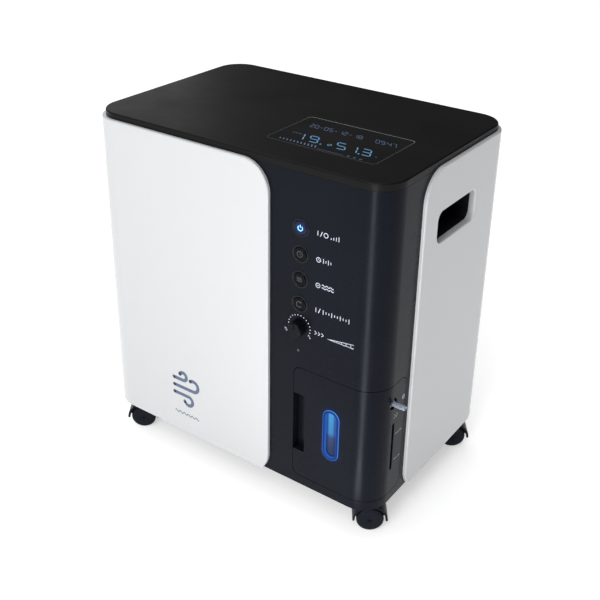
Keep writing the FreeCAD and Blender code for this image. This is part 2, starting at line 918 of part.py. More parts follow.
def make_base_tray():
    """The black tray that carries everything: a floor with a rim, caster sockets and cooling slots."""
    block = outline_bar("tray_block", "-wall - tray_gap", "base_height", "base_height + tray_rim")
    top = f"base_height + tray_rim + {OVER}"
    hollow = outline_bar("tray_hollow", "-2 * wall - tray_gap", "base_height + tray_floor", top)
    tray = cut("tray_shell", block, hollow)
    adds, cuts = [], []
    bore_long = "tray_rim - socket_cap + socket_drop + sink"
    for name, x, y, _ in CASTERS:
        adds.append(rod(name + "_boss", "boss_radius", "tray_rim", (x, y, "base_height")))
        at = (x, y, "base_height - socket_drop")
        adds.append(rod(name + "_pad", "socket_radius", "socket_drop + sink", at))
        at = (x, y, "base_height - socket_drop - sink")
        cuts.append(rod(name + "_bore", "stem_radius + running_gap", bore_long, at))
    for number in range(9):
        x = f"pump_x + {number - 4} * vent_pitch - vent_wide / 2"
        size = ("vent_wide", "vent_long", f"2 * {OVER}")
        cuts.append(box(f"tray_vent_{number}", size, (x, "vent_y", f"base_height - {OVER}")))
    keep("base_tray", cut("base_tray", fuse("tray_sum", tray, *adds), *cuts))


SCREWS = [
    (f"{side} * (rear_split - screw_edge)", height)
    for side in (-1, 1)
    for height in ("base_height + screw_end", "(base_height + top_height) / 2", f"{PANEL_TOP} - screw_end")
]
GRILLE_SLOTS = 11
GRILLE_RADIUS = 40.0
GRILLE_ROWS = 5.6
SHORTEST_CHORD = 0.06


def grille_reach(number):
    """Half the length of a slot of the fan's grille, so that the slots together fill a circle."""
    row = (number - (GRILLE_SLOTS - 1) / 2) / GRILLE_ROWS
    return GRILLE_RADIUS * math.sqrt(max(SHORTEST_CHORD, 1 - row**2))


def make_rear_panel():
    """The rear panel: fan grille, filter opening, hole for the mains inlet, louvres and screw holes."""
    size = ("rear_wide", "wall", f"{PANEL_TOP} - base_height")
    plate = box("rear_plate", size, ("-rear_wide / 2", f"{BACK} - wall", "base_height"))
    inside = f"{BACK} - {THROUGH} / 2"
    cuts = []
    for number in range(GRILLE_SLOTS):
        reach = grille_reach(number)
        z = f"fan_z - grille_low + {number} * grille_pitch"
        size = (2 * reach, THROUGH, "grille_slot")
        cuts.append(box(f"fan_slot_{number}", size, (f"fan_x - {reach}", inside, z)))
    side = "filter_side - 2 * filter_seat"
    corner = ("filter_x - filter_side / 2 + filter_seat", inside, "filter_z - filter_side / 2 + filter_seat")
    cuts.append(box("filter_hole", (side, THROUGH, side), corner))
    size = ("inlet_wide + 2 * inlet_gap", THROUGH, "inlet_tall + 2 * inlet_gap")
    corner = ("inlet_x - inlet_wide / 2 - inlet_gap", inside, "inlet_z - inlet_tall / 2 - inlet_gap")
    cuts.append(box("inlet_hole", size, corner))
    for number in range(8):
        z = f"louvre_z + {number} * louvre_pitch"
        size = ("louvre_long", THROUGH, "louvre_tall")
        cuts.append(box(f"rear_louvre_{number}", size, ("louvre_x", inside, z)))
    for number, (x, z) in enumerate(SCREWS):
        cuts.append(rod(f"rear_screw_hole_{number}", "screw_hole", THROUGH, (x, inside, z), "+y"))
    keep("rear_panel", cut("rear_panel", plate, *cuts))


# ---------------------------------------------------------------------------------------------------
# Buttons, flow knob and lamp
# ---------------------------------------------------------------------------------------------------


def turned_part(name, points, at, along, local=False):
    """A turned body, placed with its axis along a direction."""
    body = turned(name, points)
    return put(body, at, TURNS[along], local)


def make_button(label, number):
    """A round cap with a dished face and a stem that reaches the key board."""
    skirt = "button_radius - key_skin"
    points = [
        ("0", "0"),
        ("key_stem", "0"),
        ("key_stem", "key_flat"),
        (skirt, "key_flat"),
        (skirt, "key_skirt"),
        ("button_radius", "key_skirt"),
        ("button_radius", "button_deep + button_proud - key_bevel"),
        ("button_radius - key_bevel", "button_deep + button_proud"),
        ("key_dish", "button_deep + button_proud"),
        ("0", "button_deep + button_proud - key_dish_deep"),
    ]
    at = ("button_x", f"{FRONT} + button_deep", button_z(number))
    keep(label, turned_part(label, points, at, "-y"))


def make_bezels():
    """The rings round the buttons: a lip on the panel and a sleeve that guides the cap."""
    inner = "button_radius + button_gap"
    sleeve = "bezel_radius - bezel_lip - sleeve_gap"
    points = [
        (inner, "0"),
        (sleeve, "0"),
        (sleeve, "bezel_deep"),
        ("bezel_radius", "bezel_deep"),
        ("bezel_radius", "bezel_deep + bezel_proud - bezel_bevel"),
        ("bezel_radius - bezel_bevel", "bezel_deep + bezel_proud"),
        (f"{inner} + bezel_bevel", "bezel_deep + bezel_proud"),
        (inner, "bezel_deep + bezel_proud - bezel_bevel"),
    ]
    rings = []
    for number in range(4):
        at = ("button_x", f"{FRONT} + bezel_deep", button_z(number))
        rings.append(turned_part(f"bezel_{number}", points, at, "-y"))
    keep("button_bezels", group("button_bezels", *rings))


FLUTES = 18


def make_knob():
    """The fluted flow knob with its shaft and pointer line."""
    skirt = "knob_radius - knob_skirt"
    points = [
        ("0", "-knob_reach"),
        ("knob_shaft", "-knob_reach"),
        ("knob_shaft", "knob_recess"),
        (skirt, "knob_recess"),
        (skirt, "0"),
        ("knob_radius", "0"),
        ("knob_radius", "knob_skirt"),
        ("knob_radius - knob_taper", "knob_high - knob_bevel"),
        ("knob_radius - knob_taper - knob_bevel", "knob_high"),
        ("0", "knob_high"),
    ]
    knob = turned_part("knob_blank", points, ("button_x", f"{FRONT} - knob_gap", "knob_z"), "-y")
    flutes = []
    for number in range(FLUTES):
        angle = 360 * number / FLUTES
        x = f"button_x + (knob_radius + flute_out) * cos({angle} deg)"
        z = f"knob_z + (knob_radius + flute_out) * sin({angle} deg)"
        at = (x, f"{FRONT} - knob_gap - flute_start", z)
        flutes.append(rod(f"knob_flute_{number}", "flute_radius", THROUGH, at, "-y"))
    line = box(
        "knob_line",
        ("line_wide", f"line_deep + {OVER}", "knob_radius - line_start - line_margin"),
        ("button_x - line_wide / 2", f"{FRONT} - knob_gap - knob_high - {OVER}", "knob_z + line_start"),
    )
    keep("flow_knob", cut("flow_knob", knob, line, *flutes))


def make_flow_valve():
    """The needle valve behind the knob: a brass block on the panel with two hose tails."""
    y = f"{FRONT} + wall"
    size = ("valve_side", "valve_long", "valve_side")
    corner = ("button_x - valve_side / 2", f"{y} + valve_stand", "knob_z - valve_side / 2")
    block = box("valve_block", size, corner)
    boss = rod("valve_boss", "valve_nut", "valve_nut_long", ("button_x", y, "knob_z"), "+y")
    tails = []
    for side in (-1, 1):
        at = (f"button_x + {side} * valve_tail_x", f"{y} + valve_long", "knob_z")
        tails.append(rod(f"valve_tail_{side}", "tail_radius", "valve_tail", at, "+y"))
    at = ("button_x", f"{y} - valve_stand", "knob_z")
    bore = rod("valve_bore", "knob_shaft + running_gap", "knob_reach + valve_stand", at, "+y")
    keep("flow_valve", cut("flow_valve", fuse("valve_sum", block, boss, *tails), bore))


def make_lamp():
    """The small lamp's lens: a flange behind the panel and a stub with a low dome in its hole."""
    points = [
        ("0", "0"),
        ("lamp_flange", "0"),
        ("lamp_flange", "lamp_flange_thick"),
        ("lamp_radius - fit_gap", "lamp_flange_thick"),
        ("lamp_radius - fit_gap", "lamp_flange_thick + wall"),
        ("0", "lamp_flange_thick + lamp_dome + wall"),
    ]
    at = ("lamp_x", f"{FRONT} + wall + lamp_flange_thick", "lamp_z")
    keep("indicator_lens", turned_part("indicator_lens", points, at, "-y"))


# parts on the main board: name, size (x, y, z) and place from the board's own corner
BOARD_BLOCKS = (
    ("transformer", (40, 34, 34), (75, 10)),
    ("heat_sink", (8, 50, 28), (42, 35)),
    ("relay", (18, 12, 16), (100, 75)),
    ("terminal_strip", (60, 10, 12), (40, 83)),
)
BOARD_CAPACITORS = ((20, 25), (20, 55))


def make_key_board():
    """The board behind the buttons, with one switch for each."""
    switch_y = f"{FRONT} + button_deep + button_travel + button_gap"
    size = ("key_board_wide", "board_thick", "3 * button_pitch + 2 * key_board_margin")
    lowest = f"{button_z(3)} - key_board_margin"
    corner = ("button_x - key_board_wide / 2", f"{switch_y} + switch_thick", lowest)
    sheet_block = box("key_sheet", size, corner)
    switches = []
    for number in range(4):
        size = ("switch_wide", "switch_thick + bond / 2", "switch_wide")
        corner = ("button_x - switch_wide / 2", switch_y, f"{button_z(number)} - switch_wide / 2")
        switches.append(box(f"key_switch_{number}", size, corner))
    return fuse("key_board_sum", sheet_block, *switches)


def make_main_board():
    """The main board on the shelf, with its feet and its larger parts."""
    z = "shelf_z + sheet_steel + main_stand"
    parts = [box("main_sheet", ("main_wide", "main_deep", "board_thick"), ("main_x", "main_y", z))]
    for x in ("main_foot_in", "main_wide - main_foot_in"):
        for y in ("main_foot_in", "main_deep - main_foot_in"):
            at = (f"main_x + {x}", f"main_y + {y}", "shelf_z + sheet_steel")
            parts.append(rod(f"main_foot_{len(parts)}", "main_foot", "main_stand + bond", at))
    for x, y in BOARD_CAPACITORS:
        at = (f"main_x + {x}", f"main_y + {y}", z)
        parts.append(rod(f"capacitor_{len(parts)}", "capacitor_radius", "capacitor_tall", at))
    for name, size, (x, y) in BOARD_BLOCKS:
        parts.append(box(name, size, (f"main_x + {x}", f"main_y + {y}", z)))
    return fuse("main_sum", *parts)


def make_boards():
    keep("circuit_boards", group("circuit_boards", make_key_board(), make_main_board()))


# ---------------------------------------------------------------------------------------------------
# Humidifier drawer
# ---------------------------------------------------------------------------------------------------


def window_patch(name, inset, near, far):
    """A block with the window's slot shape, drawn in by an inset, between two depths."""
    return front_patch(
        name,
        f"window_x - window_wide / 2 + ({inset})",
        f"window_x + window_wide / 2 - ({inset})",
        f"window_z - window_tall / 2 + ({inset})",
        f"window_z + window_tall / 2 - ({inset})",
        f"window_wide / 2 - ({inset}) - slot_slack",
        near,
        far,
    )


def make_drawer_front():
    """The drawer's face round the corner, with its finger pocket, window, sight slit and outlet hole."""
    solid = outline_bar("drawer_outer", "0", "base_height", PANEL_TOP)
    hollow = outline_bar("drawer_inner", "-drawer_skin", f"base_height - {OVER}", "top_height")
    shape = drawer_block("drawer_shape", "drawer_gap")
    skin = common("drawer_skin_block", cut("drawer_wall", solid, hollow), shape)
    left = "drawer_left + drawer_gap"
    tall = "pocket_high - pocket_low"
    tray = box(
        "pull_tray",
        ("pocket_wide + pocket_wall - drawer_gap", "pocket_deep + pocket_floor", f"{tall} + 2 * pocket_wall"),
        (left, FRONT, "pocket_low - pocket_wall"),
    )
    scoop = box(
        "pull_scoop",
        (f"pocket_wide - drawer_gap + {OVER}", f"pocket_deep + {OVER}", tall),
        (f"{left} - {OVER}", f"{FRONT} - {OVER}", "pocket_low"),
    )
    hole = window_patch("window_hole", "window_lip", f"{FRONT} - {THROUGH}", f"{FRONT} + {THROUGH}")
    slit = side_patch(
        "slit_hole",
        "slit_y - slit_wide / 2",
        "slit_y + slit_wide / 2",
        "slit_z - slit_tall / 2",
        "slit_z + slit_tall / 2",
        "slit_wide / 2 - slot_slack",
        f"{RIGHT} - {THROUGH}",
        f"{RIGHT} + {THROUGH}",
    )
    at = (f"{RIGHT} - {THROUGH}", "nozzle_y", "nozzle_z")
    port = rod("nozzle_port", "nozzle_hole", f"2 * {THROUGH}", at, "+x")
    keep("drawer_front", cut("drawer_front", fuse("drawer_sum", skin, tray), scoop, hole, slit, port))


def make_window():
    """The light ring round the front window, moulded in one with its lens, and the side's level lens."""
    ring = window_patch("window_ring_outer", "0", f"{FRONT} - window_proud", FRONT)
    plug = window_patch("window_plug", "window_lip + window_gap", FRONT, f"{FRONT} + drawer_skin + sink")
    dish = window_patch("window_dish", "window_ring", f"{FRONT} - {OVER}", f"{FRONT} + dish_deep")
    keep("window_ring", cut("window_ring", fuse("window_sum", ring, plug), dish))
    lens = box(
        "level_lens",
        ("level_thick", "slit_wide + 2 * level_margin", "slit_tall + 2 * level_margin"),
        (
            f"{RIGHT} - drawer_skin - level_thick - level_gap",
            "slit_y - slit_wide / 2 - level_margin",
            "slit_z - slit_tall / 2 - level_margin",
        ),
    )
    keep("level_lens", lens)


TANK_MIDDLE = "(tank_left + tank_right) / 2"
DIP_X = "tank_left + dip_in"


def tank_bar(name, grow, low, high):
    """The tank's plan outline, grown by a distance, between two heights."""
    return bar(
        name,
        "xy",
        f"tank_right - tank_left + 2 * ({grow})",
        f"tank_back - tank_front + 2 * ({grow})",
        f"tank_round + ({grow})",
        (TANK_MIDDLE, "(tank_front + tank_back) / 2", low),
        f"({high}) - ({low})",
    )


def make_tank():
    """The clear water tank and its lid, with the passage to the outlet and the hole for the drop tube."""
    solid = tank_bar("tank_outer", "0", "tank_low", "tank_high")
    hollow = tank_bar("tank_inner", "-tank_wall", "tank_low + tank_wall", f"tank_high + {OVER}")
    keep("humidifier_tank", cut("humidifier_tank", solid, hollow))
    lid_top = "tank_high + tank_lid_thick"
    cap = tank_bar("lid_cap", "tank_lid_grow", "tank_high", lid_top)
    rim = tank_bar("lid_rim", "-tank_wall - rim_gap", "tank_high - rim_deep", "tank_high")
    rim_low = f"tank_high - rim_deep - {OVER}"
    rim_hollow = tank_bar("lid_rim_hollow", "-2 * tank_wall - rim_gap", rim_low, "tank_high")
    dome = rod("lid_dome", "dome_radius", "dome_high", (TANK_MIDDLE, "nozzle_y + dome_shift", lid_top))
    tunnel_long = f"tank_right - {TANK_MIDDLE} + tank_lid_grow * 2"
    tunnel = rod("lid_passage", "tunnel_radius", tunnel_long, (TANK_MIDDLE, "nozzle_y", "nozzle_z"), "+x")
    at = ("tank_right - passage_in", "nozzle_y", "nozzle_z")
    passage = rod("lid_bore", "nozzle_radius + fit_gap", "passage_long", at, "+x")
    at = ("tank_right - drop_in", "nozzle_y", "tank_high - passage_in")
    drop = rod("lid_drop", "drop_radius", "drop_long", at)
    at = (DIP_X, "dip_y", f"tank_high - 2 * {OVER}")
    inlet = rod("lid_inlet_hole", "dip_radius + fit_gap", f"2 * {THROUGH}", at)
    pad = rod("lid_inlet_pad", "dip_pad", "dip_pad_high", (DIP_X, "dip_y", lid_top))
    body = fuse("lid_sum", cap, cut("lid_rim_ring", rim, rim_hollow), dome, tunnel, pad)
    keep("tank_lid", cut("tank_lid", body, passage, drop, inlet))


def make_bubbler():
    """The drop tube with its frit, and the elbow that docks with the cabinet at the back."""
    stem_long = "tank_high + arm_high + dip_radius - tank_low - frit_long"
    stem = rod("bubbler_stem", "dip_radius", stem_long, (DIP_X, "dip_y", "tank_low + frit_long"))
    frit = rod("bubbler_frit", "frit_radius", "frit_long", (DIP_X, "dip_y", "tank_low + frit_low"))
    at = (DIP_X, "dip_y", "tank_high + arm_high")
    arm = rod("bubbler_arm", "dip_radius", "tank_back - dip_y + dock_reach", at, "+y")
    keep("bubbler_tube", fuse("bubbler_tube", stem, frit, arm))


def make_nozzle():
    """The hollow outlet nozzle, with a collar inside the drawer and a barb for the tubing at its tip."""
    reach = "nozzle_tip - tank_right + nozzle_root"
    points = [
        ("nozzle_bore", "0"),
        ("nozzle_radius", "0"),
        ("nozzle_radius", "collar_at"),
        ("nozzle_radius + collar_out", "collar_at"),
        ("nozzle_radius + collar_out", "collar_at + collar_thick"),
        ("nozzle_radius", "collar_at + collar_thick"),
        ("nozzle_radius", f"{reach} - barb_start"),
        ("nozzle_radius - barb_neck", f"{reach} - barb_start"),
        ("nozzle_radius - barb_neck", f"{reach} - barb_crest"),
        ("nozzle_radius", f"{reach} - barb_slope"),
        ("nozzle_radius - barb_tip", reach),
        ("nozzle_bore", reach),
    ]
    at = ("tank_right - nozzle_root", "nozzle_y", "nozzle_z")
    keep("outlet_nozzle", turned_part("outlet_nozzle", points, at, "+x"))


def make_drawer_tray():
    """The carriage that holds the tank: a floor on two runners, with a low back and left side."""
    left, right = "tank_left - carriage_left", "tank_right - carriage_right"
    front, back = f"{FRONT} + drawer_skin", "tank_back + carriage_back"
    wide, deep = f"({right}) - ({left})", f"({back}) - ({front})"
    low = "tank_low - carriage_thick - running_gap"
    runner_low = "tank_low - carriage_thick - runner_tall"
    parts = [
        box("carriage_floor", (f"{wide} - corner_wide", deep, "carriage_thick"), (left, front, low)),
        box("carriage_side", ("carriage_thick", deep, "carriage_high"), (left, front, low)),
    ]
    size = (wide, "carriage_thick", "carriage_high")
    parts.append(box("carriage_rear", size, (left, f"{back} - carriage_thick", low)))
    size = (wide, f"{deep} - corner_deep", "carriage_thick")
    parts.append(box("carriage_deep", size, (left, f"{front} + corner_deep", low)))
    for number, x in enumerate((f"{left} + runner_left", f"{right} - runner_right")):
        size = ("runner_wide", f"{deep} - runner_short", "runner_tall")
        parts.append(box(f"runner_{number}", size, (x, f"{front} + runner_front", runner_low)))
    limit = outline_bar("carriage_space", "-drawer_skin", "base_height", "top_height")
    keep("drawer_tray", common("drawer_tray", fuse("carriage_sum", *parts), limit))


def make_drawer_bay():
    """The fixed housing round the drawer: floor, left wall, back, ceiling and a socket for the dock."""
    left, right = "drawer_left + bay_left", f"{RIGHT} - wall - bay_right"
    front, back = f"{FRONT} + bay_front", "tank_back + bay_back"
    low, high = "tank_low - bay_low", "drawer_high + bay_high"
    wide, deep = f"({right}) - ({left})", f"({back}) - ({front})"
    tall = f"({high}) - ({low}) + bay_thick"
    parts = [
        box("bay_floor", (wide, deep, "bay_thick"), (left, front, low)),
        box("bay_roof", (wide, deep, "bay_thick"), (left, front, high)),
        box("bay_side", ("bay_thick", deep, tall), (left, front, low)),
        box("bay_rear", (wide, "bay_thick", tall), (left, f"{back} - bay_thick", low)),
    ]
    for number, x in enumerate((f"{left} + bay_leg_in", f"{right} - bay_leg_in - bay_leg")):
        size = ("bay_leg", deep, f"{low} - base_height - tray_floor")
        parts.append(box(f"bay_stand_{number}", size, (x, front, "base_height + tray_floor")))
    dock_z = "tank_high + arm_high"
    at = (DIP_X, f"{back} - dock_in", dock_z)
    parts.append(rod("bay_dock", "dock_radius", "dock_long", at, "+y"))
    parts.append(rod("bay_dock_tail", "dock_tail_radius", "dock_tail_long", at, "+y"))
    at = (DIP_X, f"{back} - {THROUGH}", dock_z)
    bore = rod("bay_bore", "dip_radius + running_gap", f"2 * {THROUGH}", at, "+y")
    space = outline_bar("bay_space", "-drawer_skin - bay_limit", "base_height", "top_height")
    keep("drawer_bay", cut("drawer_bay", common("bay_shell", fuse("bay_sum", *parts), space), bore))


# ---------------------------------------------------------------------------------------------------
# Casters
# ---------------------------------------------------------------------------------------------------

# name, x and y of the swivel, and the angle the wheel trails at
CASTERS = [
    ("caster_front_left", "-caster_x_front", "-caster_y", 215),
    ("caster_front_right", "caster_x_front", "-caster_y", 35),
    ("caster_rear_left", "-caster_x_rear", "caster_y", 205),
    ("caster_rear_right", "caster_x_rear", "caster_y", 35),
]


def make_caster(name, x, y, angle):
    """A twin-wheel caster; in its own frame the stem stands on the origin and the wheels trail along +X."""
    web = "wheel_gap / 2 - web_gap"
    wide = "wheel_gap / 2 + wheel_wide"

    def own(label, shape):
        shape = group(label, shape)
        put(shape, (x, y, "0"), Rotation(Vector(0, 0, 1), angle))
        return keep(label, shape)

    def disc(part, radius, half, grow="0"):
        at = ("wheel_trail", f"-({half}) - ({grow})", "wheel_radius")
        return rod(f"{name}_{part}", radius, f"2 * (({half}) + ({grow}))", at, "+y", local=True)

    def upright(part, radius, length, low):
        return rod(f"{name}_{part}", radius, length, ("0", "0", low), "+z", local=True)

    rim = disc("rim", "hood_outer", wide)
    fender = cut(f"{name}_fender", rim, disc("rim_bore", "hood_inner", wide, "1"))
    spine = disc("spine", "hood_inner + hood_spine", web)
    size = (f"3 * {THROUGH}", f"3 * {THROUGH}", f"2 * {THROUGH}")
    hem_z = f"wheel_radius - hood_hem - 2 * {THROUGH}"
    corner = (f"wheel_trail - 1.5 * {THROUGH}", f"-1.5 * {THROUGH}", hem_z)
    low = box(f"{name}_low", size, corner, local=True)
    eye = disc("eye", "eye_radius", web)
    boss = upright("neck", "neck_radius", "base_height - neck_short - neck_low", "neck_low")
    neck = cut(f"{name}_neck_cut", boss, disc("neck_clear", "hood_inner", wide, "3"))
    stem_hole = upright("stem_hole", "stem_radius", f"2 * {THROUGH}", "stem_low")
    axle_hole = disc("axle_hole", "axle_radius", web, "1")
    arch = cut(f"{name}_arch", fuse(f"{name}_arch_sum", fender, spine), low)
    hood = cut(f"{name}_hood_cut", fuse(f"{name}_hood_sum", arch, eye, neck), stem_hole, axle_hole)
    own(f"{name}_hood", hood)

    stem = upright("stem", "stem_radius", "base_height + tray_rim - stem_short - stem_low", "stem_low")
    axle = disc("axle", "axle_radius", f"{wide} - axle_short")
    own(f"{name}_pins", group(f"{name}_pin_pair", stem, axle))

    points = [
        ("axle_radius + running_gap", "0"),
        ("wheel_radius - tread_round", "0"),
        ("wheel_radius", "tread_round"),
        ("wheel_radius", "wheel_wide - shoulder_drop"),
        ("wheel_radius - shoulder_in", "wheel_wide - cap_drop"),
        ("wheel_radius - cap_in", "wheel_wide"),
        ("hub_radius", "wheel_wide"),
        ("hub_radius - hub_slope", "wheel_wide - hub_deep"),
        ("axle_radius + running_gap", "wheel_wide - hub_deep"),
    ]
    for letter, side in (("a", -1), ("b", 1)):
        at = ("wheel_trail", f"{side} * wheel_gap / 2", "wheel_radius")
        wheel = turned_part(f"{name}_disc_{letter}", points, at, "+y" if side > 0 else "-y", local=True)
        own(f"{name}_wheel_{letter}", wheel)


# ---------------------------------------------------------------------------------------------------
# Compressor, sieve beds and the rest of the works
# ---------------------------------------------------------------------------------------------------

HALF_MOTOR = "motor_long / 2"
PUMP_LONG = "motor_long + 2 * crank_wide"
MOTOR_TOP = "pump_z + motor_radius"
MOUNT_TALL = "pump_z - motor_radius - plate_margin - base_height - tray_floor"


def along_pump(name, radius, length, start):
    """A cylinder on the shaft's axis, from a distance along it."""
    return rod(name, radius, length, (f"pump_x + ({start})", "pump_y", "pump_z"), "+x")


def make_pump_body():
    """The compressor's casing: a slotted motor between two crankcases, on a plate with feet."""
    motor = along_pump("pump_motor", "motor_radius", "motor_long", f"-{HALF_MOTOR}")
    cases, feet, slots = [], [], []
    for side in (-1, 1):
        start = f"{HALF_MOTOR} - crank_lap" if side > 0 else f"-{HALF_MOTOR} - crank_wide + crank_lap"
        size = ("crank_wide", "2 * motor_radius - crank_narrow", "2 * motor_radius + crank_taller")
        corner = (f"pump_x + {start}", "pump_y - motor_radius + crank_narrow / 2", "pump_z - motor_radius")
        cases.append(box(f"pump_crank_{side}", size, corner))
        size = (f"{THROUGH}", "foot_long", "foot_tall")
        corner = (
            f"pump_x + {side} * foot_x - {THROUGH} / 2",
            "pump_y - foot_long / 2",
            "pump_z - motor_radius - foot_tall + sink",
        )
        feet.append(box(f"pump_foot_{side}", size, corner))
    plate = box(
        "pump_plate",
        (f"{PUMP_LONG} + 2 * plate_ends", "2 * (motor_radius + plate_margin)", "plate_thick"),
        (
            f"pump_x - {HALF_MOTOR} - crank_wide - plate_ends",
            "pump_y - motor_radius - plate_margin",
            "pump_z - motor_radius - plate_margin",
        ),
    )
    bore = along_pump("pump_bore", "shaft_radius + running_gap", f"10 * {THROUGH}", f"-5 * {THROUGH}")
    chamber_long = "motor_long - 2 * motor_end"
    start = f"-{HALF_MOTOR} + motor_end"
    chamber = along_pump("pump_chamber", "motor_radius - motor_skin", chamber_long, start)
    for number in range(7):
        size = ("slot_wide", "slot_long", "slot_pitch")
        x = f"pump_x + {number - 3} * slot_pitch"
        corner = (x, "pump_y - slot_long / 2", f"{MOTOR_TOP} - slot_deep")
        slots.append(box(f"pump_slot_{number}", size, corner))
    body = cut("compressor_body", fuse("pump_sum", motor, plate, *cases, *feet), bore, chamber, *slots)
    keep("compressor_body", body)


HEAD_REACH = "motor_long / 2 + crank_wide / 2 - crank_lap"


def make_heads():
    """The two finned cylinders with their heads and ports."""
    heads = []
    for side in (-1, 1):
        x = f"pump_x + {side} * ({HEAD_REACH})"
        left = f"{x} - head_wide / 2"
        top = ("head_wide", "head_long", "head_thick")
        barrel_low = f"{MOTOR_TOP} + crank_taller"
        parts = [
            rod(f"head_barrel_{side}", "barrel_radius", "barrel_tall", (x, "pump_y", barrel_low)),
            box(f"head_top_{side}", top, (left, "pump_y - head_long / 2", f"{MOTOR_TOP} + head_up")),
            rod(f"head_port_{side}", "tail_radius", "port_tall", (x, "pump_y", f"{MOTOR_TOP} + port_up")),
        ]
        for fin in range(5):
            size = ("head_wide", "fin_long", "fin_thick")
            at = (left, "pump_y - fin_long / 2", f"{MOTOR_TOP} + fin_low + {fin} * fin_pitch")
            parts.append(box(f"head_fin_{side}_{fin}", size, at))
        heads.append(fuse(f"head_{side}", *parts))
    keep("cylinder_heads", group("cylinder_heads", *heads))


def make_pump_shaft():
    """The shaft with the motor's rotor and a six-bladed cooling fan at each end."""
    shaft_long = f"{PUMP_LONG} + 2 * shaft_out"
    shaft = along_pump("shaft_rod", "shaft_radius", shaft_long, f"-({PUMP_LONG}) / 2 - shaft_out")
    rotor_end = "motor_end + rotor_end"
    rotor_long = f"motor_long - 2 * ({rotor_end})"
    rotor_radius = "motor_radius - motor_skin - rotor_gap"
    rotor = along_pump("shaft_rotor", rotor_radius, rotor_long, f"-{HALF_MOTOR} + {rotor_end}")
    blades = []
    for side in (-1, 1):
        x = f"pump_x + {side} * (({PUMP_LONG}) / 2 + blade_wide) - blade_wide / 2"
        blades.append(rod(f"shaft_hub_{side}", "blade_hub", "blade_wide", (x, "pump_y", "pump_z"), "+x"))
        for number in range(6):
            size = ("blade_wide", "blade_thick", "blade_long")
            blade = box(f"shaft_blade_{side}_{number}", size, (x, "pump_y", "pump_z"))
            blade.Placement = Placement(Vector(), Rotation(Vector(1, 0, 0), 60 * number))
            blades.append(blade)
    keep("compressor_shaft", fuse("compressor_shaft", shaft, rotor, *blades))


def make_rubber_mounts():
    """Four waisted rubber mounts between the tray and the compressor's plate."""
    points = [
        ("0", "0"),
        ("mount_radius", "0"),
        ("mount_waist", "mount_flare"),
        ("mount_waist", f"{MOUNT_TALL} - mount_flare"),
        ("mount_radius", MOUNT_TALL),
        ("0", MOUNT_TALL),
    ]
    mounts = []
    for side in (-1, 1):
        for end in (-1, 1):
            at = (f"pump_x + {side} * mount_x", f"pump_y + {end} * mount_y", "base_height + tray_floor")
            mounts.append(turned_part(f"rubber_mount_{side}_{end}", points, at, "+z"))
    keep("rubber_mounts", group("rubber_mounts", *mounts))


def make_beds():
    """The two sieve beds and the slimmer oxygen store, all upright behind the drawer."""
    tall = "bed_high - bed_low"
    points = [
        ("0", "0"),
        ("bed_radius + bed_cap", "0"),
        ("bed_radius + bed_cap", "bed_cap_tall"),
        ("bed_radius", "bed_cap_tall"),
        ("bed_radius", f"{tall} - bed_cap_tall"),
        ("bed_radius + bed_cap", f"{tall} - bed_cap_tall"),
        ("bed_radius + bed_cap", tall),
        ("bed_port", tall),
        ("bed_port", f"{tall} + bed_port"),
        ("0", f"{tall} + bed_port"),
    ]
    beds = []
    for side in (-1, 1):
        at = (f"bed_x + {side} * bed_pitch / 2", "bed_y", "bed_low")
        beds.append(turned_part(f"sieve_bed_{side}", points, at, "+z"))
    keep("sieve_beds", group("sieve_beds", *beds))

    tall = "store_high - bed_low"
    points = [
        ("0", "0"),
        ("store_radius - store_round", "0"),
        ("store_radius", "store_round"),
        ("store_radius", f"{tall} - store_round"),
        ("store_radius - store_round", tall),
        ("store_port", tall),
        ("store_port", f"{tall} + store_port_tall"),
        ("0", f"{tall} + store_port_tall"),
    ]
    keep("oxygen_store", turned_part("oxygen_store", points, ("store_x", "store_y", "bed_low"), "+z"))


def make_manifold():
    """The valve block on the beds' ports, with four hose tails and four solenoids."""
    low = "bed_high + bed_port"
    block = box(
        "manifold_block",
        ("bed_pitch + 2 * manifold_end", "manifold_deep", "manifold_tall"),
        ("bed_x - bed_pitch / 2 - manifold_end", "bed_y - manifold_deep / 2", low),
    )
    tails, solenoids = [], []
    for number in range(4):
        x = f"bed_x - tail_first + {number} * tail_pitch"
        at = (x, "bed_y - manifold_deep / 2 - manifold_tail", f"{low} + manifold_tall / 2")
        tails.append(rod(f"manifold_tail_{number}", "tail_radius", "manifold_tail + 2", at, "+y"))
        x = f"bed_x + {number - 1.5} * coil_pitch"
        coil = rod(f"solenoid_coil_{number}", "coil_radius", "coil_tall", (x, "bed_y", "bed_high + coil_up"))
        size = ("coil_foot_wide", "coil_foot_deep", "coil_foot_tall")
        foot_z = "bed_high + coil_up - coil_foot_tall"
        corner = (f"{x} - coil_foot_wide / 2", "bed_y - coil_foot_deep / 2", foot_z)
        solenoids.append(fuse(f"solenoid_{number}", coil, box(f"solenoid_foot_{number}", size, corner)))
    keep("valve_manifold", fuse("valve_manifold", block, *tails))
    keep("solenoids", group("solenoids", *solenoids))


def spot(x, y, z):
    """A point from three formulas or numbers, with x counted from the cabinet's middle."""
    return Vector(dim(f"mid_x + ({x})"), dim(y), dim(z))


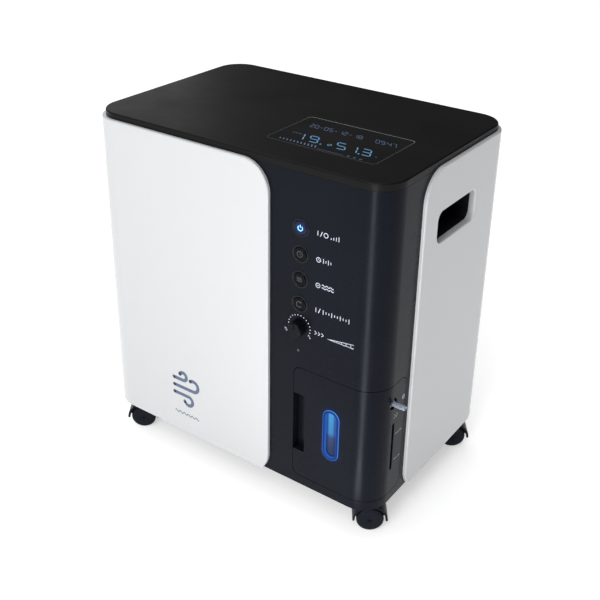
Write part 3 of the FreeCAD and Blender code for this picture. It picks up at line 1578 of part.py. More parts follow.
def hose_routes():
    """The corners of each hose's path, from end to end."""
    valve_y = f"{FRONT} + wall + valve_long + hose_slip"
    left, right = "button_x - valve_tail_x", "button_x + valve_tail_x"
    store_top = "store_high + 34"
    dock_z = "tank_high + arm_high"
    dock_y = "tank_back + bay_back - dock_in + dock_tail_long - 2"
    first_tail = "bed_x - tail_first"
    tail_y, tail_z = "bed_y - manifold_deep / 2", "bed_high + bed_port + manifold_tall / 2"
    head_x = f"pump_x + {HEAD_REACH}"
    return {
        "feed": [
            spot(right, valve_y, "knob_z"),
            spot(right, "-40", "knob_z"),
            spot("store_x - 18", "-5", "knob_z + 20"),
            spot("store_x", "store_y - 30", store_top),
            spot("store_x", "store_y", store_top),
            spot("store_x", "store_y", "store_high + 2"),
        ],
        "drawer": [
            spot(left, valve_y, "knob_z"),
            spot(left, "-52", "knob_z"),
            spot(left, "-8", "knob_z - 24"),
            spot(f"{DIP_X} - 26", "8", f"{dock_z} + 16"),
            spot(DIP_X, "10", dock_z),
            spot(DIP_X, dock_y, dock_z),
        ],
        "supply": [
            spot(first_tail, f"{tail_y} - 8", tail_z),
            spot(first_tail, f"{tail_y} - 38", tail_z),
            spot("bed_x - 58", "pump_y + 6", "bed_high + 4"),
            spot(head_x, "pump_y", "bed_high - 26"),
            spot(head_x, "pump_y", f"{MOTOR_TOP} + 36"),
        ],
    }


def make_hoses():
    """Silicone hoses with rounded bends, each a ring swept along its path."""
    tubes = []
    for name, points in hose_routes().items():
        inside = dim("dock_hose_inside" if name == "drawer" else "hose_inside")
        start, way = points[0], points[1] - points[0]
        path = rounded_path(points)
        walls = []
        for radius in (inside + dim("hose_wall"), inside):
            ring = Part.Wire([Part.Circle(start, way, radius).toShape()])
            walls.append(path.makePipeShell([ring], True, False))
        tube = doc.addObject("Part::Feature", f"hose_{name}")
        tube.Shape = walls[0].cut(walls[1])
        tubes.append(tube)
    keep("hoses", group("hoses", *tubes))


BEND_SHARE = 0.45


def rounded_path(points):
    """Straight runs joined by tangent arcs, each as wide as its two runs allow."""
    edges, start = [], points[0]
    for before, corner, after in zip(points, points[1:], points[2:]):
        into = (corner - before).normalize()
        out = (after - corner).normalize()
        turn = into.getAngle(out)
        reach = BEND_SHARE * min((corner - before).Length, (after - corner).Length)
        first, last = corner - into * reach, corner + out * reach
        radius = reach / math.tan(turn / 2)
        to_centre = (out - into).normalize()
        centre = corner + to_centre * (radius / math.cos(turn / 2))
        middle = centre + (corner - centre).normalize() * radius
        edges.append(Part.LineSegment(start, first).toShape())
        edges.append(Part.Arc(first, middle, last).toShape())
        start = last
    edges.append(Part.LineSegment(start, points[-1]).toShape())
    return Part.Wire(edges)


FAN_Y = f"{BACK} - wall - fan_thick"
FAN_BACK = f"{BACK} - wall"
VANES = 7
VANE_PITCH = 38


def make_fan_frame():
    """The fan's square frame, with its motor on four arms."""
    size = ("fan_side", "fan_thick", "fan_side")
    plate = box("fan_block", size, ("fan_x - fan_side / 2", FAN_Y, "fan_z - fan_side / 2"))
    bore = rod("fan_opening", "fan_bore", "fan_thick + 2", ("fan_x", f"{FAN_Y} - 1", "fan_z"), "+y")
    at = ("fan_x", f"{FAN_BACK} - fan_motor_thick", "fan_z")
    motor = rod("fan_motor_can", "fan_motor", "fan_motor_thick", at, "+y")
    arms = []
    for number in range(4):
        size = ("fan_side / 2 + fan_motor_thick", "fan_arm", "fan_arm_wide")
        arm = box(f"fan_arm_{number}", size, ("fan_x", f"{FAN_BACK} - fan_arm", "fan_z"))
        arm.Placement = Placement(Vector(), Rotation(Vector(0, 1, 0), 45 + 90 * number))
        arms.append(arm)
    limit = rod("fan_limit", "fan_side / 2", "fan_thick", ("fan_x", FAN_Y, "fan_z"), "+y")
    spokes = common("fan_spokes", fuse("fan_arm_sum", *arms), limit)
    at = ("fan_x", f"{FAN_BACK} - fan_pin_hole", "fan_z")
    pin_hole = rod("fan_pin_bore", "fan_pin + running_gap", THROUGH, at, "+y")
    frame = fuse("fan_frame_sum", cut("fan_ring", plate, bore), motor, spokes)
    keep("fan_frame", cut("fan_frame", frame, pin_hole))


def make_fan_rotor():
    """The fan's hub and pin with seven pitched vanes."""
    hub = rod("fan_hub_can", "fan_hub", "fan_hub_thick", ("fan_x", f"{FAN_Y} + 2", "fan_z"), "+y")
    pin = rod("fan_pin_rod", "fan_pin", "fan_pin_long", ("fan_x", f"{FAN_Y} + 4", "fan_z"), "+y")
    tilt = Rotation(Vector(0, 0, 1), VANE_PITCH)
    vanes = []
    for number in range(VANES):
        turn = Rotation(Vector(0, 1, 0), 360 * number / VANES)
        foot = turn.multVec(Vector(0, 0, dim("vane_root")))
        size = ("vane_thick", "vane_deep", "vane_long")
        vane = box(f"fan_vane_{number}", size, ("fan_x", f"{FAN_Y} + 2", "fan_z"))
        vane.Placement = Placement(Vector(), turn.multiply(tilt))
        bind(vane, "Placement.Base.x", f"mid_x + fan_x + {foot.x}")
        bind(vane, "Placement.Base.z", f"fan_z + {foot.z}")
        vanes.append(vane)
    span = rod("fan_sweep", "fan_bore - vane_gap", "vane_sweep", ("fan_x", f"{FAN_Y} + 1", "fan_z"), "+y")
    keep("fan_rotor", fuse("fan_rotor", hub, pin, common("fan_vanes", fuse("fan_vane_sum", *vanes), span)))


def make_filter():
    """The slotted cover over the intake filter, and the foam pad behind it."""
    half = "filter_side / 2"
    middle = ("filter_x", f"{BACK} + filter_gap", "filter_z")
    cover = bar("filter_plate", "xz", "filter_side", "filter_side", "filter_round", middle, "filter_proud")
    side = "filter_side - 2 * filter_skin"
    middle = ("filter_x", f"{BACK} - filter_in", "filter_z")
    hollow = bar("filter_hollow", "xz", side, side, "filter_round - 2", middle, "filter_proud")
    slots = []
    for number in range(10):
        z = f"filter_z - filter_slots + {number} * filter_pitch"
        size = ("filter_side - 2 * filter_slot_end", THROUGH, "filter_slot")
        corner = (f"filter_x - {half} + filter_slot_end", f"{BACK} - 2", z)
        slots.append(box(f"filter_slot_{number}", size, corner))
    keep("filter_cover", cut("filter_cover", cover, hollow, *slots))
    side = "filter_side - 2 * foam_inset"
    corner = (f"filter_x - {half} + foam_inset", f"{BACK} - foam_in", f"filter_z - {half} + foam_inset")
    keep("intake_filter", box("intake_filter", (side, "foam_thick", side), corner))


# offsets of the three pins from the inlet's middle
PINS = (("left", -7, -2), ("middle", 0, 2), ("right", 7, -2))


def make_power_inlet():
    """The flanged mains inlet with its three pins."""
    shell = box(
        "inlet_shell",
        ("inlet_wide", "inlet_long", "inlet_tall"),
        ("inlet_x - inlet_wide / 2", f"{BACK} - inlet_long + 1", "inlet_z - inlet_tall / 2"),
    )
    flange = box(
        "inlet_flange_plate",
        ("inlet_flange_wide", "inlet_flange", "inlet_flange_tall"),
        ("inlet_x - inlet_flange_wide / 2", BACK, "inlet_z - inlet_flange_tall / 2"),
    )
    hollow = box(
        "inlet_hollow",
        ("inlet_space_wide", f"inlet_space_deep + {OVER}", "inlet_space_tall"),
        ("inlet_x - inlet_space_wide / 2", f"{BACK} - inlet_space_deep", "inlet_z - inlet_space_tall / 2"),
    )
    pins = []
    for name, x, z in PINS:
        size = ("pin_wide", "pin_long", "pin_tall")
        corner = (f"inlet_x + {x} - pin_wide / 2", f"{BACK} - pin_long", f"inlet_z + {z} - pin_tall / 2")
        pins.append(box(f"inlet_pin_{name}", size, corner))
    cup = cut("inlet_cup", fuse("inlet_sum", shell, flange), hollow)
    keep("power_inlet", fuse("power_inlet", cup, *pins))


def make_shelf():
    """The steel shelf over the compressor, with turned-down edges and four legs that screw to the tray."""
    wide = "shelf_right - shelf_left"
    floor = "base_height + tray_floor"
    size = (wide, "shelf_deep", "sheet_steel")
    parts = [box("shelf_plate", size, ("shelf_left", "-shelf_deep / 2", "shelf_z"))]
    for end, y in (("front", "-shelf_deep / 2"), ("rear", "shelf_deep / 2 - sheet_steel")):
        size = (wide, "sheet_steel", "hem_tall")
        parts.append(box(f"shelf_hem_{end}", size, ("shelf_left", y, "shelf_z - hem_tall")))
        foot_y = f"{y} - leg_foot + sheet_steel" if end == "rear" else y
        for side, x in (("left", "shelf_left"), ("right", "shelf_right - leg_wide")):
            size = ("leg_wide", "sheet_steel", f"shelf_z - ({floor})")
            parts.append(box(f"shelf_leg_{end}_{side}", size, (x, y, floor)))
            size = ("leg_wide", "leg_foot", "sheet_steel")
            parts.append(box(f"shelf_foot_{end}_{side}", size, (x, foot_y, floor)))
    size = ("hose_slot_wide", "hose_slot_deep", f"2 * {OVER}")
    slot = box("shelf_hose_slot", size, ("shelf_right - hose_slot_in", "hose_slot_y", f"shelf_z - {OVER}"))
    keep("inner_shelf", cut("inner_shelf", fuse("shelf_sum", *parts), slot))


def make_screws():
    """The screws that hold the rear panel."""
    points = [
        ("0", "-screw_long"),
        ("screw_shank", "-screw_long"),
        ("screw_shank", "0"),
        ("screw_head", "0"),
        ("screw_head", "screw_rim"),
        ("screw_flat", "screw_slope"),
        ("0", "screw_high"),
    ]
    screws = []
    for number, (x, z) in enumerate(SCREWS):
        screws.append(turned_part(f"screw_{number}", points, (x, BACK, z), "+y"))
    keep("rear_screws", group("rear_screws", *screws))


# ---------------------------------------------------------------------------------------------------
# Build, check and write
# ---------------------------------------------------------------------------------------------------

make_lid()
make_display()
make_left_cover()
make_right_cover()
make_grip_cup("grip_cup_left", -1)
make_grip_cup("grip_cup_right", 1)
make_front_panel()
make_base_tray()
make_rear_panel()
for position, label in enumerate(("button_power", "button_timer", "button_ion", "button_mode")):
    make_button(label, position)
make_bezels()
make_knob()
make_flow_valve()
make_lamp()
make_boards()
make_drawer_front()
make_window()
make_tank()
make_bubbler()
make_nozzle()
make_drawer_tray()
make_drawer_bay()
for caster in CASTERS:
    make_caster(*caster)
make_pump_body()
make_heads()
make_pump_shaft()
make_rubber_mounts()
make_beds()
make_manifold()
make_hoses()
make_fan_frame()
make_fan_rotor()
make_filter()
make_power_inlet()
make_shelf()
make_screws()
doc.recompute()

BAD_STATES = ("Invalid", "Error", "Touched")
problems = [thing.Name for thing in doc.Objects if any(word in thing.State for word in BAD_STATES)]
problems += [part.Label for part in subparts if part.Shape.isNull() or not part.Shape.isValid()]
if problems:
    raise SystemExit(f"failed objects: {problems}")

os.makedirs("parts", exist_ok=True)
for part in subparts:
    part.Shape.exportStep(f"parts/{part.Label}.step")
print(len(subparts), "sub-parts written")
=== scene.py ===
"""Looks for the home oxygen concentrator: materials, printed marks, lit display and window, stage.

Everything is in metres in the part's own frame: +Z up, -Y the front, +X the outlet side.
"""

import math

import bmesh
import bpy
from mathutils import Matrix, Vector


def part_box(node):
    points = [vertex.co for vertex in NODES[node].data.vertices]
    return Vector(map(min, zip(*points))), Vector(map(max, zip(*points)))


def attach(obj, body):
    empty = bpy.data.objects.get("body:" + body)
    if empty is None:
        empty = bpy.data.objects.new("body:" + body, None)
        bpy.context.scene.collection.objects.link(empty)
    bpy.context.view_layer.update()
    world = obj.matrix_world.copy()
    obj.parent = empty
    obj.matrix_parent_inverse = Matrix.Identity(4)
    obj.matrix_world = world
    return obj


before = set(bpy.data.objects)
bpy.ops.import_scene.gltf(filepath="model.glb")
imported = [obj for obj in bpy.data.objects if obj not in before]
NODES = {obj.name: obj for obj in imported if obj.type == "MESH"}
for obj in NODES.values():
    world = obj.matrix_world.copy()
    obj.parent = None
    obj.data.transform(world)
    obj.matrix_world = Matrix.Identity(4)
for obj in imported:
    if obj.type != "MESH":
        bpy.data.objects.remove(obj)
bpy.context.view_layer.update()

MM = 0.001
X, Y, Z = (1, 0, 0), (0, 1, 0), (0, 0, 1)

# How thick a printed mark stands on its face, and the thicker ink of the caps and the emblem.
PRINT = 0.05 * MM
THICK_PRINT = 0.08 * MM


# --------------------------------------------------------------------------------------
# Materials
# --------------------------------------------------------------------------------------

# The part of its range that a noise mostly covers.
NOISE_LOW, NOISE_HIGH = 0.3, 0.7

# The depth of a slight bump.
SLIGHT = 0.05 * MM

BLACK = (0.0, 0.0, 0.0)


class Paint:
    """A node material with one Principled shader, and short calls for what feeds it."""

    def __init__(self, name, colour, roughness, **sockets):
        self.material = bpy.data.materials.new(name)
        self.material.use_nodes = True
        self.tree = self.material.node_tree
        self.shader = self.tree.nodes["Principled BSDF"]
        self.colour = tuple(colour) + (1.0,)
        self.shader.inputs["Base Color"].default_value = self.colour
        self.shader.inputs["Roughness"].default_value = roughness
        for key, value in sockets.items():
            self.shader.inputs[key.replace("_", " ")].default_value = value
        self.material.diffuse_color = self.colour
        self.place = self.node("ShaderNodeTexCoord").outputs["Object"]
        self.last_bump = None

    def node(self, kind, **values):
        made = self.tree.nodes.new(kind)
        for key, value in values.items():
            setattr(made, key, value)
        return made

    def link(self, source, target):
        self.tree.links.new(source, target)

    def feed(self, socket, source):
        self.link(source, self.shader.inputs[socket])

    def stretch(self, scale):
        """Object coordinates scaled unevenly, for grain that runs one way."""
        mapping = self.node("ShaderNodeMapping")
        mapping.inputs["Scale"].default_value = scale
        self.link(self.place, mapping.inputs["Vector"])
        return mapping.outputs["Vector"]

    def noise(self, per_metre, detail=3.0, roughness=0.55, place=None):
        made = self.node("ShaderNodeTexNoise")
        made.inputs["Scale"].default_value = per_metre
        made.inputs["Detail"].default_value = detail
        made.inputs["Roughness"].default_value = roughness
        self.link(place or self.place, made.inputs["Vector"])
        return made.outputs["Fac"]

    def cells(self, per_metre):
        """How far a point lies from the middle of its cell."""
        made = self.node("ShaderNodeTexVoronoi")
        made.inputs["Scale"].default_value = per_metre
        self.link(self.place, made.inputs["Vector"])
        return made.outputs["Distance"]

    def remap(self, source, low, high, start=NOISE_LOW, end=NOISE_HIGH):
        """A source that runs from start to end, made to run from low to high."""
        made = self.node("ShaderNodeMapRange")
        limits = {"From Min": start, "From Max": end, "To Min": low, "To Max": high}
        for key, value in limits.items():
            made.inputs[key].default_value = value
        self.link(source, made.inputs["Value"])
        return made.outputs["Result"]

    def ramp(self, source, *stops):
        """Colours at places from 0 to 1 of a source."""
        made = self.node("ShaderNodeValToRGB")
        elements = made.color_ramp.elements
        while len(elements) < len(stops):
            elements.new(0.5)
        for element, (where, colour) in zip(elements, stops):
            element.position = where
            element.color = tuple(colour) + (1.0,)
        self.link(source, made.inputs["Fac"])
        return made.outputs["Color"]

    def multiply(self, one, two):
        """The product of two colours."""
        made = self.node("ShaderNodeMix", data_type="RGBA", blend_type="MULTIPLY")
        sockets = {item.name: item for item in made.inputs if item.enabled}
        sockets["Factor"].default_value = 1.0
        self.link(one, sockets["A"])
        self.link(two, sockets["B"])
        return next(item for item in made.outputs if item.enabled)

    def maths(self, operation, one, two=0.0):
        """A sum, product, maximum and so on of two sources or numbers."""
        made = self.node("ShaderNodeMath", operation=operation)
        for socket, value in zip(made.inputs, (one, two)):
            if hasattr(value, "is_output"):
                self.link(value, socket)
            else:
                socket.default_value = value
        return made.outputs["Value"]

    def axes(self):
        """The three object coordinates, each as a source."""
        split = self.node("ShaderNodeSeparateXYZ")
        self.link(self.place, split.inputs["Vector"])
        return [split.outputs[axis] for axis in "XYZ"]

    def from_slot(self, middle, half_tall):
        """How far a point of the front view lies from an upright centre line, in metres."""
        x, _, z = self.axes()
        across = self.maths("SUBTRACT", x, middle.x)
        along = self.maths("ABSOLUTE", self.maths("SUBTRACT", z, middle.z))
        beyond = self.maths("MAXIMUM", self.maths("SUBTRACT", along, half_tall), 0.0)
        squares = [self.maths("MULTIPLY", side, side) for side in (across, beyond)]
        return self.maths("SQRT", self.maths("ADD", *squares))

    def glow(self, source, *stops):
        """Light that leaves the surface, coloured by a ramp."""
        self.feed("Emission Color", self.ramp(source, *stops))
        self.shader.inputs["Emission Strength"].default_value = 1.0

    def bump(self, height, strength, distance):
        """Relief on top of any relief that the paint already has."""
        made = self.node("ShaderNodeBump")
        made.inputs["Strength"].default_value = strength
        made.inputs["Distance"].default_value = distance
        self.link(height, made.inputs["Height"])
        if self.last_bump:
            self.link(self.last_bump, made.inputs["Normal"])
        self.last_bump = made.outputs["Normal"]
        self.feed("Normal", self.last_bump)

    def tint(self, source, low, high):
        """Base colour that drifts between two multiples of the paint's own colour."""
        dark = tuple(channel * low for channel in self.colour[:3])
        light = tuple(channel * high for channel in self.colour[:3])
        self.feed("Base Color", self.ramp(source, (NOISE_LOW, dark), (NOISE_HIGH, light)))


def black_plastic(name, colour, roughness, grain=2600.0, depth=0.02, gloss=0.16):
    """Moulded black plastic: fine spark texture, slow drifts of tone, and smudges in the gloss.

    The grain is in lumps per metre and its depth in millimetres.
    """
    paint = Paint(name, colour, roughness, Specular_IOR_Level=gloss)
    smudge = paint.noise(14.0, 4.0, 0.6)
    fine = paint.noise(900.0, 2.0)
    paint.tint(paint.noise(7.0, 3.0), 0.85, 1.2)
    paint.feed("Roughness", paint.remap(smudge, roughness - 0.05, roughness + 0.06))
    paint.bump(paint.noise(grain, 2.0, 0.5), 0.25, depth * MM)
    paint.bump(fine, 0.06, SLIGHT)
    return paint


def column_plastic(name):
    """The fine-grained, slightly blue black of the column and the drawer's front."""
    paint = black_plastic(name, (0.0046, 0.0053, 0.0086), 0.27, 2200.0, 0.012, 0.085)
    paint.shader.inputs["Specular Tint"].default_value = (0.76, 0.86, 1.0, 1.0)
    return paint


def white_plastic(name, colour):
    """Glossy white plastic: faint orange peel, and slow changes of gloss from handling."""
    coat = {"Coat_Weight": 0.35, "Coat_Roughness": 0.08}
    paint = Paint(name, colour, 0.24, Specular_IOR_Level=0.5, **coat)
    haze = paint.noise(4.0, 2.0, 0.5)
    paint.feed("Roughness", paint.remap(haze, 0.22, 0.28, 0.0, 1.0))
    paint.bump(paint.noise(700.0, 1.0), 0.1, 0.004 * MM)
    return paint.material


def metal(name, colour, roughness, grain=(40.0, 40.0, 900.0)):
    """Drawn or cast metal with directional grain."""
    paint = Paint(name, colour, roughness, Metallic=1.0)
    streaks = paint.noise(1.0, 4.0, 0.6, paint.stretch(grain))
    paint.tint(paint.noise(30.0, 3.0), 0.85, 1.1)
    paint.feed("Roughness", paint.remap(streaks, roughness - 0.08, roughness + 0.12))
    paint.bump(streaks, 0.12, SLIGHT)
    return paint.material


def rubber(name, colour, roughness=0.7):
    """Matt rubber or moulded resin with a dusty, uneven skin."""
    paint = Paint(name, colour, roughness, Specular_IOR_Level=0.4)
    paint.tint(paint.noise(60.0, 4.0), 0.8, 1.3)
    wear = paint.noise(120.0, 4.0)
    paint.feed("Roughness", paint.remap(wear, roughness - 0.1, roughness + 0.12))
    paint.bump(paint.noise(1800.0, 3.0), 0.3, SLIGHT)
    return paint.material


def clear_plastic(name, colour, roughness, transmission=0.9):
    """Clear or frosted mouldings, with faint wisps of haze."""
    paint = Paint(name, colour, roughness, Transmission_Weight=transmission, IOR=1.49)
    paint.feed("Roughness", paint.remap(paint.noise(90.0, 4.0), roughness, roughness + 0.08))
    paint.bump(paint.noise(500.0, 2.0), 0.05, SLIGHT)
    return paint.material


def glowing(name, colour, strength):
    """A lit mark: a phosphor or light guide that is a little uneven."""
    paint = Paint(name, tuple(0.4 * channel for channel in colour), 0.4)
    paint.shader.inputs["Emission Strength"].default_value = strength
    dark = tuple(channel * 0.85 for channel in colour)
    speckle = paint.noise(1400.0, 2.0)
    paint.feed("Emission Color", paint.ramp(speckle, (0.35, dark), (0.65, colour)))
    return paint.material


def ink(name, colour):
    """Pad-printed ink with a faint screen texture and thin spots."""
    paint = Paint(name, colour, 0.45)
    paint.tint(paint.noise(3000.0, 2.0), 0.88, 1.06)
    paint.bump(paint.noise(4000.0, 1.0), 0.2, 0.01 * MM)
    return paint.material


def circuit(name, colour):
    """Solder-masked board: pads as spots of copper in the green."""
    paint = Paint(name, colour, 0.35, Coat_Weight=0.4)
    pads = paint.cells(260.0)
    copper = (0.35, 0.3, 0.12)
    paint.feed("Base Color", paint.ramp(pads, (0.1, copper), (0.2, colour), (0.6, colour)))
    paint.bump(pads, 0.2, SLIGHT)
    return paint.material


def foam(name, colour):
    """Open-celled filter foam, with painted shade darkening the inside of its pores."""
    paint = Paint(name, colour, 0.95, Specular_IOR_Level=0.2)
    pores = paint.cells(900.0)
    # Painted shade: the pores are darkened to 0.15 of the foam's own colour.
    dark = tuple(channel * 0.15 for channel in colour)
    paint.feed("Base Color", paint.ramp(pores, (0.15, colour), (0.5, dark)))
    paint.bump(pores, 0.9, 0.8 * MM)
    return paint.material


# The looks that more than one piece may share, by a short name.
LOOKS = {
    "lid": black_plastic("lid_black", (0.0058, 0.0058, 0.006), 0.36, gloss=0.09).material,
    "column": column_plastic("column_black").material,
    "inner": black_plastic("inner_black", (0.02, 0.021, 0.024), 0.55).material,
    "cup": black_plastic("cup_black", (0.008, 0.0085, 0.011), 0.5).material,
    "rear": black_plastic("rear_black", (0.018, 0.0185, 0.021), 0.48, 1500, 0.05).material,
    "white": white_plastic("cover_white", (0.53, 0.54, 0.547)),
    "lens": black_plastic("lens_black", (0.0075, 0.0076, 0.008), 0.18, 400, 0.002).material,
    "cap": black_plastic("cap_black", (0.0022, 0.0027, 0.0033), 0.3, gloss=0.07).material,
    "bezel": black_plastic(
        "bezel_black", (0.005, 0.0058, 0.0075), 0.25, 1200, 0.004, gloss=0.18
    ).material,
    "knob": black_plastic("knob_black", (0.0035, 0.0038, 0.0045), 0.38, gloss=0.1).material,
    "nylon": black_plastic(
        "caster_nylon", (0.0055, 0.007, 0.0115), 0.38, 1800, 0.03, gloss=0.1
    ).material,
    "tread": black_plastic(
        "caster_tread", (0.0055, 0.0075, 0.013), 0.45, 1500, 0.04, gloss=0.1
    ).material,
    "rubber": rubber("mount_rubber", (0.02, 0.02, 0.022)),
    "steel": metal("zinc_steel", (0.62, 0.63, 0.66), 0.32),
    "alloy": metal("cast_alloy", (0.66, 0.67, 0.69), 0.48, (300.0, 300.0, 300.0)),
    "shaft": metal("ground_steel", (0.55, 0.56, 0.58), 0.25),
    "brass": metal("valve_brass", (0.72, 0.52, 0.22), 0.3),
    "bed": white_plastic("bed_white", (0.62, 0.64, 0.66)),
    "tank": clear_plastic("tank_clear", (0.86, 0.93, 0.98), 0.05),
    "tank_lid": white_plastic("tank_lid_white", (0.70, 0.74, 0.78)),
    "nozzle": clear_plastic("nozzle_frost", (0.62, 0.68, 0.80), 0.16, 0.8),
    "silicone": clear_plastic("hose_silicone", (0.85, 0.86, 0.85), 0.3, 0.4),
    "coil": rubber("coil_black", (0.02, 0.022, 0.03), 0.45),
    "circuit": circuit("board_green", (0.01, 0.09, 0.035)),
    "foam": foam("filter_foam", (0.035, 0.036, 0.04)),
    "ink": ink("ink_white", (0.54, 0.58, 0.67)),
    "faint_ink": ink("ink_grey", (0.05, 0.054, 0.062)),
    "slate_ink": ink("ink_slate", (0.085, 0.115, 0.19)),
    "digit": glowing("digit_blue", (0.09, 0.23, 0.40), 1.0),
    "small_digit": glowing("digit_dim", (0.10, 0.15, 0.26), 0.45),
    "power": glowing("power_cyan", (0.22, 0.62, 1.0), 1.9),
}

# The look of each CAD node that keeps one of the shared looks; the others are in dress_nodes.
NODE_LOOKS = {
    "top_lid": "lid",
    "front_panel": "column",
    "base_tray": "inner",
    "rear_panel": "rear",
    "filter_cover": "rear",
    "grip_cup_left": "cup",
    "grip_cup_right": "cup",
    "drawer_tray": "inner",
    "drawer_bay": "inner",
    "power_inlet": "inner",
    "fan_frame": "inner",
    "fan_rotor": "inner",
    "left_cover": "white",
    "right_cover": "white",
    "display_lens": "lens",
    "level_lens": "lens",
    "display_module": "circuit",
    "circuit_boards": "circuit",
    "button_bezels": "bezel",
    "flow_knob": "knob",
    "flow_valve": "brass",
    "indicator_lens": "faint_ink",
    "humidifier_tank": "tank",
    "bubbler_tube": "tank",
    "tank_lid": "tank_lid",
    "outlet_nozzle": "nozzle",
    "compressor_body": "alloy",
    "cylinder_heads": "alloy",
    "valve_manifold": "alloy",
    "compressor_shaft": "shaft",
    "sieve_beds": "bed",
    "oxygen_store": "bed",
    "hoses": "silicone",
    "rubber_mounts": "rubber",
    "intake_filter": "foam",
    "solenoids": "coil",
    "inner_shelf": "steel",
    "rear_screws": "steel",
}


# How wide the lit guide round the drawer's window is.
GUIDE_WIDE = 3.4 * MM


def centre(node):
    """The middle of a CAD node's box."""
    low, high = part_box(node)
    return (low + high) / 2


def from_window(paint):
    """How far a point lies from the window's centre line, and how far the ring's rim does."""
    low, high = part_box("window_ring")
    half_wide = (high.x - low.x) / 2
    return paint.from_slot((low + high) / 2, (high.z - low.z) / 2 - half_wide), half_wide


def window_guide():
    """The light guide round the window: deep blue acrylic with a dim blue glow of its own, and
    painted highlights that make it bright along its rims.
    """
    paint = Paint("window_guide", (0.004, 0.012, 0.05), 0.06, Specular_IOR_Level=0.06)
    reach, rim = from_window(paint)
    # Painted highlights: the glow brightens along the guide's inner and outer rims; between them
    # is the guide's own dim blue.
    paint.glow(
        paint.remap(reach, 0.0, 1.0, rim - GUIDE_WIDE, rim),
        (0.0, (0.02, 0.12, 0.50)),
        (0.14, (0.008, 0.05, 0.26)),
        (0.3, (0.003, 0.020, 0.14)),
        (0.72, (0.003, 0.018, 0.13)),
        (0.86, (0.01, 0.09, 0.42)),
        (0.95, (0.06, 0.24, 0.68)),
    )
    return paint.material


def drawer_plastic_with_painted_glow():
    """The column's black plastic, with a painted glow round the window that stands for the
    window's light spilling a little way over it.
    """
    spill = 7 * MM
    paint = column_plastic("drawer_black")
    reach, rim = from_window(paint)
    # Painted light: a blue glow on the black plastic, fading to nothing within 7 mm of the
    # window's rim.
    paint.glow(
        paint.remap(reach, 0.0, 1.0, rim, rim + spill),
        (0.0, (0.002, 0.007, 0.045)),
        (0.35, (0.0, 0.001, 0.009)),
        (1.0, BLACK),
    )
    return paint.material


def lit_cap():
    """The power button's cap, lit from behind so that blue shows round its symbol."""
    spread = 11 * MM
    paint = black_plastic("cap_lit", (0.0035, 0.004, 0.005), 0.3)
    reach = paint.from_slot(centre("button_power"), 0.0)
    paint.glow(
        paint.remap(reach, 0.0, 1.0, 0.0, spread),
        (0.0, (0.0, 0.055, 0.26)),
        (0.3, (0.0, 0.022, 0.13)),
        (0.55, (0.0, 0.006, 0.045)),
        (1.0, BLACK),
    )
    return paint.material


def dress_nodes():
    """Give every CAD node its look, and soften its edges."""
    for name, obj in NODES.items():
        if name == "button_power":
            look = lit_cap()
        elif name == "drawer_front":
            look = drawer_plastic_with_painted_glow()
        elif name.startswith("button_") and name != "button_bezels":
            look = LOOKS["cap"]
        elif name.startswith("caster_"):
            look = LOOKS["nylon" if name.endswith(("_hood", "_pins")) else "tread"]
        elif name == "window_ring":
            look = window_guide()
        else:
            look = LOOKS[NODE_LOOKS[name]]
        obj.data.materials.clear()
        obj.data.materials.append(look)
        soften(obj)


# How near points are welded, how flat a face must be to be made whole, and the edges' rounding.
WELD_REACH = 0.002 * MM
FLAT_DEGREES = 0.1
EDGE_RADIUS = 0.25 * MM
EDGE_DEGREES = 40


def soften(obj):
    """Whole flat faces, smooth shading over round ones, and a hair of edge rounding."""
    weld = obj.modifiers.new("weld", "WELD")
    weld.merge_threshold = WELD_REACH
    flats = obj.modifiers.new("flats", "DECIMATE")
    flats.decimate_type = "DISSOLVE"
    flats.angle_limit = math.radians(FLAT_DEGREES)
    bevel = obj.modifiers.new("edge", "BEVEL")
    bevel.width = EDGE_RADIUS
    bevel.segments = 2
    bevel.limit_method = "ANGLE"
    bevel.angle_limit = math.radians(EDGE_DEGREES)
    bevel.harden_normals = True
    bevel.use_clamp_overlap = True
    for polygon in obj.data.polygons:
        polygon.use_smooth = True
    smooth = obj.modifiers.new("normals", "WEIGHTED_NORMAL")
    smooth.keep_sharp = True


dress_nodes()


# --------------------------------------------------------------------------------------
# Printed and lit marks: thin raised shapes on a face
# --------------------------------------------------------------------------------------


